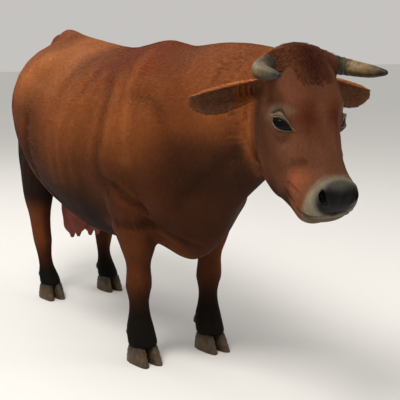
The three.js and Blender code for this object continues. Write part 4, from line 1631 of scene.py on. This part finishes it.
class Part(Enum):
    """The parts that the coat is divided into."""

    NECK = "neck"
    FORE = "trunk_fore"
    REAR = "trunk_rear"
    FACE = "face"
    JAW = "jaw"
    EAR = "ear"
    LEG_FORE = "leg_fore"
    LEG_HIND = "leg_hind"
    TAIL = "tail"

    @property
    def number(self) -> int:
        """The part's place in their order."""
        return list(Part).index(self)


@dataclass(frozen=True)
class Chart:
    """How one part of the skin is unwrapped: round an axis and along it."""

    middle: Place
    axis: Place
    front: Place
    margin: float = 0.02

    def flat(self, points: np.ndarray, side: float) -> np.ndarray:
        """Places on the part laid out in a unit square.

        Args:
            points: The places.
            side: 1 on the animal's left, -1 on its right.

        Returns:
            The places' flat coordinates.
        """
        rel = points * vec(side, 1, 1) - np.array(self.middle)
        axis, front = unit(vec(*self.axis)), unit(vec(*self.front))
        turn = np.arctan2(rel @ np.cross(axis, front), rel @ front)
        made = np.stack([turn, rel @ axis], 1)
        low, high = made.min(0), made.max(0)
        return self.margin + (1 - 2 * self.margin) * (made - low) / np.maximum(high - low, 1e-6)


ROUND_TRUNK = Chart((0, 0, 0.92), (0, 1, 0), (1, 0, 0))
ROUND_HEAD = Chart((0, -0.9259, 1.2565), (0, -0.4115, -0.9114), (0, -0.9114, 0.4115))
CHARTS = {
    Part.NECK: Chart((0, 0, 0.95), (0, 1, 0), (1, 0, 0)),
    Part.FORE: ROUND_TRUNK,
    Part.REAR: ROUND_TRUNK,
    Part.FACE: ROUND_HEAD,
    Part.JAW: ROUND_HEAD,
    Part.EAR: Chart((0, -0.972, 1.146), (1, 0, 0), (0, -1, 0)),
    Part.LEG_FORE: Chart((0.165, -0.16, 0), (0, 0, 1), (1, 0, 0)),
    Part.LEG_HIND: Chart((0.165, 0.98, 0), (0, 0, 1), (1, 0, 0)),
    Part.TAIL: Chart((-0.06, 1.215, 0), (0, 0, 1), (1, 0, 0)),
}

SPACING = {  # the distance between the short coat's tufts, where it isn't the trunk's
    Part.NECK: 0.0058,
    Part.FACE: 0.0034,
    Part.JAW: 0.0038,
    Part.EAR: 0.0038,
    Part.TAIL: 0.0042,
    Part.LEG_FORE: 0.0046,
    Part.LEG_HIND: 0.0046,
}


@dataclass
class Coat:
    """All the hair: short tufts that lie flat, and the long locks of the poll, ears and tail."""

    skin: Skin
    bare: np.ndarray  # 1 where no hair grows, for each vertex of the skin
    trunk_spacing: float = 0.0064
    high_jaw_spacing: float = 0.0045
    shin_spacing: float = 0.0039
    root_depth: float = 0.0008
    turn: float = 0.09  # how far the short tufts stray from the lie of the hair
    narrow: float = 0.0011
    wide: float = 0.0026
    flatness: float = 0.16
    switch_locks: int = 1000
    switch_top: float = 0.62
    lashes_each: int = 52

    def __post_init__(self) -> None:
        """Keeps the skin's triangles to grow on, the finish and the shapes of the tufts."""
        self.bald = self.bare[self.skin.triangles].max(1) > 0.4
        self.middles = self.skin.points[self.skin.triangles].mean(1)
        self.tree = BVHTree.FromPolygons(
            [Vector(p) for p in self.skin.points], self.skin.triangles.tolist()
        )
        self.finish = TuftFinish().make()
        self.short, self.long, self.lock = Tuft(1), Tuft(3), Tuft(6)

    def scatter(self, spacing: np.ndarray, seed: int) -> tuple[np.ndarray, np.ndarray]:
        """Evenly spread roots over the skin.

        Args:
            spacing: The distance between roots on each triangle, or 0 for none there.
            seed: The seed of the random draws.

        Returns:
            The roots and the directions in which the skin faces there.
        """
        draw = np.random.default_rng(seed)
        share = np.where(spacing > 0, self.skin.areas / np.maximum(spacing, 1e-4) ** 2, 0)
        share[self.bald] = 0
        total = np.cumsum(share)
        spots = np.arange(int(total[-1])) + draw.random(int(total[-1]))
        picked = np.minimum(np.searchsorted(total, spots), len(total) - 1)
        u, v = np.sqrt(draw.random(len(picked))), draw.random(len(picked))
        weights = np.stack([1 - u, u * (1 - v), u * v], 1)[:, :, None]
        corners = self.skin.triangles[picked]
        roots = (self.skin.points[corners] * weights).sum(1)
        return roots, unit((self.skin.normals[corners] * weights).sum(1))

    def parts(self, points: np.ndarray) -> np.ndarray:
        """The number of the part that each place is on, below zero where no coat grows."""
        x, y, z = np.abs(points[:, 0]), points[:, 1], points[:, 2]
        head = (on_head(points) > 0.3) & (y < -0.93)
        made = np.full(len(points), Part.REAR.number)
        for part, here in (
            (Part.FORE, y < 0.33),
            (Part.NECK, y < -0.45),
            (Part.FACE, head),
            (Part.JAW, head & (HEAD.local(points)[:, 2] < -0.075)),
            (Part.EAR, on_ear(points) > 0.5),
            (Part.LEG_FORE, (z < 0.54) & (x > 0.09) & (y > -0.32) & (y < 0.02)),
            (Part.LEG_HIND, (z < 0.56) & (x > 0.098) & (y > 0.70)),
            (Part.TAIL, (y > 1.185) & (z < 1.20) & (x < 0.14)),
        ):
            made[here] = part.number
        made[(z < 0.535) & (x < 0.112) & (y > 0.69) & (y < 0.96)] = -1  # the udder
        return made

    def cut(self, points: np.ndarray, normals: np.ndarray) -> np.ndarray:
        """How long the hair is at each place."""
        y, z = points[:, 1], points[:, 2]
        made = np.full(len(points), 0.023)
        made += 0.008 * ramp(normals[:, 2], -0.2, -0.8) * ramp(z, 0.70, 0.6)  # under the belly and brisket
        made += 0.004 * ramp(normals[:, 2], 0.6, 0.95) * ramp(y, -0.9, -0.7)  # along the back
        made += (0.016 - made) * ramp(z, 0.62, 0.48)
        made += (0.011 - made) * ramp(z, 0.40, 0.30)
        made += 0.010 * bell(z - 0.125, 0.03) * ramp(normals[:, 1], 0.3, 0.8)  # behind the fetlocks
        head = on_head(points)
        made += (0.0105 - made) * head
        made -= 0.0035 * head * ramp(HEAD.local(points)[:, 1], 0.38, 0.45)
        made -= 0.0045 * ramp(from_eyes(points), 0.090, 0.060)
        made += (0.013 - made) * on_ear(points)
        return made

    def lay(self, roots: np.ndarray, normals: np.ndarray, ways: np.ndarray, cut: np.ndarray,
            tuft: Tuft, lift: np.ndarray) -> np.ndarray:
        """Lays tufts down along the skin.

        Args:
            roots: Where they grow.
            normals: The way the skin faces there.
            ways: The way each lies.
            cut: How long each is.
            tuft: The shape that they are copies of.
            lift: How far each tip stands off the skin.

        Returns:
            The middles of each tuft's rings, with its root and tip.
        """
        tips = roots + ways * cut[:, None]
        for i, tip in enumerate(tips):
            place, normal, _, _ = self.tree.find_nearest(tip)
            if place is not None:
                tips[i] = np.array(place) + np.array(normal) * lift[i]
        along = tuft.along[None, :, None]
        base = roots - normals * self.root_depth
        made = base[:, None] + (tips - base)[:, None] * along
        crown = (0.0004 + 0.014 * cut)[:, None, None] * np.sin(math.pi * along)
        return made + normals[:, None] * crown * 0.8

    def build(self) -> None:
        """Grows everything."""
        self.fur()
        self.forelock()
        self.horn_collars()
        self.ear_fringe()
        self.switch()
        self.lashes()

    def dress(self, piece: bpy.types.Object, *nodes: str) -> None:
        """Gives a hair piece its finish."""
        dress(piece, self.finish, "coat", *nodes)

    def spacing(self) -> np.ndarray:
        """The distance between the short coat's tufts on each triangle of the skin."""
        part = self.parts(self.middles)
        z = self.middles[:, 2]
        made = np.full(len(part), self.trunk_spacing)
        for kind, step in SPACING.items():
            made[part == kind.number] = step
        made[(part == Part.JAW.number) & (z > 1.2)] = self.high_jaw_spacing
        made[z < 0.33] = self.shin_spacing
        made[part < 0] = 0
        return made

    def fur(self) -> None:
        """The short coat, part by part."""
        roots, normals = self.scatter(self.spacing(), 11)
        ways = lie_of(roots, normals)
        draw = np.random.default_rng(12)
        turn = draw.normal(0, self.turn, len(roots))
        ways = ways * np.cos(turn)[:, None] + np.cross(normals, ways) * np.sin(turn)[:, None]
        cut = self.cut(roots, normals) * draw.uniform(0.75, 1.2, len(roots))
        centres = self.lay(roots, normals, ways, cut, self.short, 0.0003 + 0.012 * cut)
        widths = np.clip(cut * 0.115, self.narrow, self.wide) * draw.uniform(0.8, 1.2, len(roots))
        hue = markings(roots, normals) * draw.uniform(0.96, 1.05, len(roots))[:, None]
        number = self.parts(roots)
        for kind in Part:
            for name, side in SIDES.items():
                here, label = number == kind.number, kind.value
                if kind is not Part.TAIL:
                    here, label = here & (roots[:, 0] * side > 0), f"{kind.value}_{name}"
                elif side < 0:
                    continue
                self.dress(self.short.grow(
                    f"coat_{label}", centres[here], normals[here], widths[here], hue[here],
                    CHARTS[kind].flat(roots[here], side), self.flatness, False,
                ))

    def forelock(self) -> None:
        """The longer hair of the poll, falling forwards over the forehead to a point."""
        local = HEAD.local(self.middles)
        side, down, out = np.abs(local[:, 0]), local[:, 1], local[:, 2]
        wide = 0.068 - 0.10 * np.clip(down - 0.05, 0, 1)
        here = (side < wide) & (down > -0.055) & (down < 0.125) & (out > -0.085) & (self.middles[:, 1] < -0.9)
        roots, normals = self.scatter(np.where(here, 0.0042, 0), 21)
        draw = np.random.default_rng(22)
        ways = HEAD.down()[None] - 0.35 * np.sign(roots[:, :1]) * vec(1, 0, 0) * draw.random((len(roots), 1))
        ways = ways + draw.normal(0, 0.20, roots.shape)
        ways = unit(ways - normals * (ways * normals).sum(1)[:, None])
        local = HEAD.local(roots)
        cut = draw.uniform(0.030, 0.046, len(roots)) * (1 - 0.35 * ramp(local[:, 1], 0.07, 0.12))
        lift = draw.uniform(0.001, 0.0055, len(roots))
        centres = self.lay(roots, normals, ways, cut, self.long, lift)
        hue = markings(roots, normals) * draw.uniform(0.75, 1.3, len(roots))[:, None]
        widths = draw.uniform(0.0018, 0.0032, len(roots))
        chart = CHARTS[Part.FACE].flat(roots, 1)
        self.dress(self.long.grow("hair_forelock", centres, normals, widths, hue, chart))

    def horn_collars(self) -> None:
        """Hair that stands round the foot of each horn and hides where it leaves the skin."""
        for name, side in SIDES.items():
            foot = vec(0.088 * side, -1.026, 1.248)
            rel = self.middles - foot
            around = np.hypot(rel[:, 1], rel[:, 2])
            here = (around < 0.054) & (np.abs(rel[:, 0]) < 0.035) & (np.abs(self.middles[:, 0]) > 0.055)
            roots, normals = self.scatter(np.where(here, 0.0030, 0), 31)
            draw = np.random.default_rng(32)
            out = unit(np.stack([0 * roots[:, 0], roots[:, 1] - foot[1], roots[:, 2] - foot[2]], 1))
            gap = np.hypot(roots[:, 1] - foot[1], roots[:, 2] - foot[2])
            cut = draw.uniform(0.014, 0.024, len(roots))
            ways = unit(vec(side, -0.08, -0.03) - out * (0.55 * ramp(gap, 0.036, 0.050))[:, None]
                        + draw.normal(0, 0.12, roots.shape))
            base = roots - normals * 0.001
            # the tips lie on the horn
            tips = base + ways * cut[:, None]
            away = tips - vec(0, -1.029, 1.2465)
            away[:, 0] = 0
            far = np.linalg.norm(away, axis=1)
            tips += unit(away) * (np.maximum(far, 0.0365) - far)[:, None]
            along = self.long.along[None, :, None]
            centres = base[:, None] + (tips - base)[:, None] * along
            centres = centres + out[:, None] * 0.003 * np.sin(math.pi * along)
            hue = markings(roots, normals) * draw.uniform(0.8, 1.25, len(roots))[:, None]
            widths = draw.uniform(0.0016, 0.0028, len(roots))
            chart = CHARTS[Part.FACE].flat(roots, side)
            self.dress(self.long.grow(f"hair_horn_{name}", centres, out, widths, hue, chart))

    def ear_fringe(self) -> None:
        """Longer hair along the edges and in the hollow of each ear."""
        for name, side in SIDES.items():
            x = self.middles[:, 0] * side
            here = (on_ear(self.middles) > 0.5) & (x > 0.16)
            roots, normals = self.scatter(np.where(here, 0.0056, 0), 41)
            draw = np.random.default_rng(42)
            edge = np.abs(normals[:, 2])
            inner = ramp(-normals[:, 1], 0.3, 0.7)
            keep = draw.random(len(roots)) < np.maximum(ramp(edge, 0.4, 0.7), 0.45 * inner)
            roots, normals = roots[keep], normals[keep]
            ways = unit(vec(side * 0.9, 0, -0.25) + normals * 0.18 + draw.normal(0, 0.2, roots.shape))
            cut = draw.uniform(0.010, 0.019, len(roots))
            centres = self.lay(roots, normals, ways, cut, self.long, draw.uniform(0.001, 0.005, len(roots)))
            hue = markings(roots, normals) * draw.uniform(0.85, 1.3, len(roots))[:, None]
            widths = draw.uniform(0.0012, 0.0022, len(roots))
            chart = CHARTS[Part.EAR].flat(roots, side)
            self.dress(self.long.grow(f"hair_ear_{name}", centres, normals, widths, hue, chart))

    def switch(self) -> None:
        """The long dark locks at the end of the tail."""
        low, high = (vec(*c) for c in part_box("tail_switch"))
        draw = np.random.default_rng(52)
        count = self.switch_locks
        start = draw.uniform(0.520, 0.660, count) - 0.03 * draw.random(count)
        turn = draw.uniform(0, 2 * math.pi, count)
        spoke = np.stack([np.cos(turn), np.sin(turn), 0 * turn], 1)
        top = (low + high) / 2 * vec(1, 1, 0)
        found = [self.tree.find_nearest(top + vec(0, 0, start[i]) + spoke[i] * 0.03) for i in range(count)]
        roots, normals = (np.array([hit[i] for hit in found]) for i in range(2))
        bottom = draw.uniform(low[2] - 0.002, low[2] + 0.085, count)
        depth = draw.random(count) ** 0.5
        along = self.lock.along[None, :, None]
        height = roots[:, 2, None, None] * (1 - along) + bottom[:, None, None] * along
        # 0 at the top of the switch and 1 at its end
        share = np.clip((self.switch_top - height) / (self.switch_top - low[2]), 0, 1)
        girth = 0.012 + 0.021 * np.sin(math.pi * share**0.8) ** 0.8
        middle = np.zeros((count, self.lock.along.size, 3)) + top
        middle[:, :, 0] += 0.006 * np.sin(share[:, :, 0] * 4.0 + 0.6)
        centres = middle + spoke[:, None] * girth * depth[:, None, None]
        centres += 0.0022 * np.sin(share * 15 + turn[:, None, None] * 3) * np.roll(spoke, 1, 1)[:, None]
        blend = np.clip(along * 4.5, 0, 1)
        centres[:, :, 2] = 0
        flat_roots = roots - normals * 0.001
        centres = centres * blend + flat_roots[:, None] * (1 - blend)
        centres[:, :, 2] = height[:, :, 0]
        hue = np.tile(srgb(*TONES.switch), (count, 1)) * draw.uniform(0.7, 1.6, count)[:, None]
        hue = mixed(hue, TONES.shank, 0.5 * ramp(start, 0.60, 0.66))
        widths = draw.uniform(0.0026, 0.0046, count)
        chart = CHARTS[Part.TAIL].flat(roots, 1)
        self.dress(self.lock.grow("hair_switch", centres, spoke, widths, hue, chart, 0.6), "tail_switch")

    def lashes(self) -> None:
        """The lashes of the upper lids."""
        count = self.lashes_each
        for name, eye in zip(SIDES, EYES):
            draw = np.random.default_rng(62)
            turn = np.linspace(-0.75, 1.05, count) + draw.normal(0, 0.012, count)
            forward, upward, _ = eye.basis()
            way = eye.ray(turn, eye.upper(turn) + 0.03)
            roots = eye.centre() + way * (eye.radius + 0.0012)
            out = unit(way + forward * (0.5 * turn)[:, None] - upward * 0.25)
            cut = draw.uniform(0.009, 0.014, count) * (0.6 + 0.4 * np.cos(turn))
            along = self.long.along[None, :, None]
            centres = roots[:, None] + out[:, None] * cut[:, None, None] * along
            centres = centres - upward * (0.28 * cut)[:, None, None] * np.sin(along * 2.2)
            hue = np.tile(srgb(*TONES.lash), (count, 1))
            chart = CHARTS[Part.FACE].flat(roots, eye.side)
            ups, widths = np.tile(upward, (count, 1)), np.full(count, 0.0009)
            self.dress(self.long.grow(f"lashes_{name}", centres, ups, widths, hue, chart, 1.0))


# ------------------------------------------------------------------ studio


@dataclass(frozen=True)
class Lamp:
    """One soft lamp that shines at the animal's middle."""

    name: str
    place: Place
    power: float
    size: float
    colour: Place = (1.0, 0.95, 0.88)

    def build(self) -> None:
        """Hangs the lamp."""
        light = bpy.data.lights.new(self.name, "AREA")
        light.energy = self.power
        light.color = self.colour
        light.size = self.size
        hang(self.name, light, self.place, Vector((0, 0, 0.75)) - Vector(self.place))


def hang(name: str, what: bpy.types.ID, place: Place, aim: Vector) -> bpy.types.Object:
    """Puts a lamp or the camera at a place.

    Args:
        name: The new object's name.
        what: The lamp or the camera.
        place: Where it is.
        aim: The direction in which it looks.

    Returns:
        The new object.
    """
    holder = bpy.data.objects.new(name, what)
    bpy.context.scene.collection.objects.link(holder)
    holder.location = place
    holder.rotation_euler = aim.to_track_quat("-Z", "Y").to_euler()
    return holder


@dataclass(frozen=True)
class Studio:
    """A pale floor, soft light and the camera."""

    eye: Place = (-1.735, -3.4155, 1.336)
    look: Place = (0.48743, 0.85455, -0.17931)
    lens: float = 81.0
    sensor: float = 36.0
    floor_size: float = 60.0
    floor_colour: Place = (0.82, 0.82, 0.81)
    sky_colour: Place = (1.0, 0.97, 0.93)
    sky_strength: float = 0.56
    lamps: tuple[Lamp, ...] = (
        Lamp("key", (-2.8, -1.6, 5.8), 280, 2.6),
        Lamp("fill", (4.0, -2.5, 3.0), 34, 3.0),
        Lamp("rim", (-0.5, 4.2, 4.6), 84, 3.0),
    )

    def build(self) -> None:
        """Makes the floor, the lights and the camera."""
        self.floor()
        world = bpy.data.worlds.new("studio")
        world.use_nodes = True
        sky = world.node_tree.nodes["Background"]
        sky.inputs["Color"].default_value = (*self.sky_colour, 1)
        sky.inputs["Strength"].default_value = self.sky_strength
        bpy.context.scene.world = world
        for lamp in self.lamps:
            lamp.build()
        bpy.context.scene.view_settings.view_transform = "Standard"
        camera = bpy.data.cameras.new("camera")
        camera.lens = self.lens
        camera.sensor_width = self.sensor
        bpy.context.scene.camera = hang("camera", camera, self.eye, Vector(self.look))

    def floor(self) -> None:
        """Lays the floor."""
        bpy.ops.object.select_all(action="DESELECT")
        bpy.ops.mesh.primitive_plane_add(size=self.floor_size)
        floor = bpy.context.object
        floor.name = "floor"
        finish = Finish("floor", 0.9)
        finish.shader.inputs["Base Color"].default_value = (*self.floor_colour, 1)
        floor.data.materials.append(finish.material)


def main() -> None:
    """Builds the dressed cow, piece by piece."""
    logging.basicConfig(level=logging.INFO, format="%(message)s")
    skin = Skin()
    mesh = skin.piece.data
    bare = bareness(skin)
    paint(mesh, "hue", skin_markings(skin))
    paint(mesh, "lie", lie_shares(skin))
    paint(mesh, "bare", np.repeat(bare[:, None], 3, 1))
    smooth(skin.piece)
    dress(skin.piece, SkinFinish().make(), "coat", *skin.stands_for)
    Eyes().build()
    Horns().build()
    Hoofs().build()
    Coat(skin, bare).build()
    Studio().build()


if __name__ == "__main__":
    main()
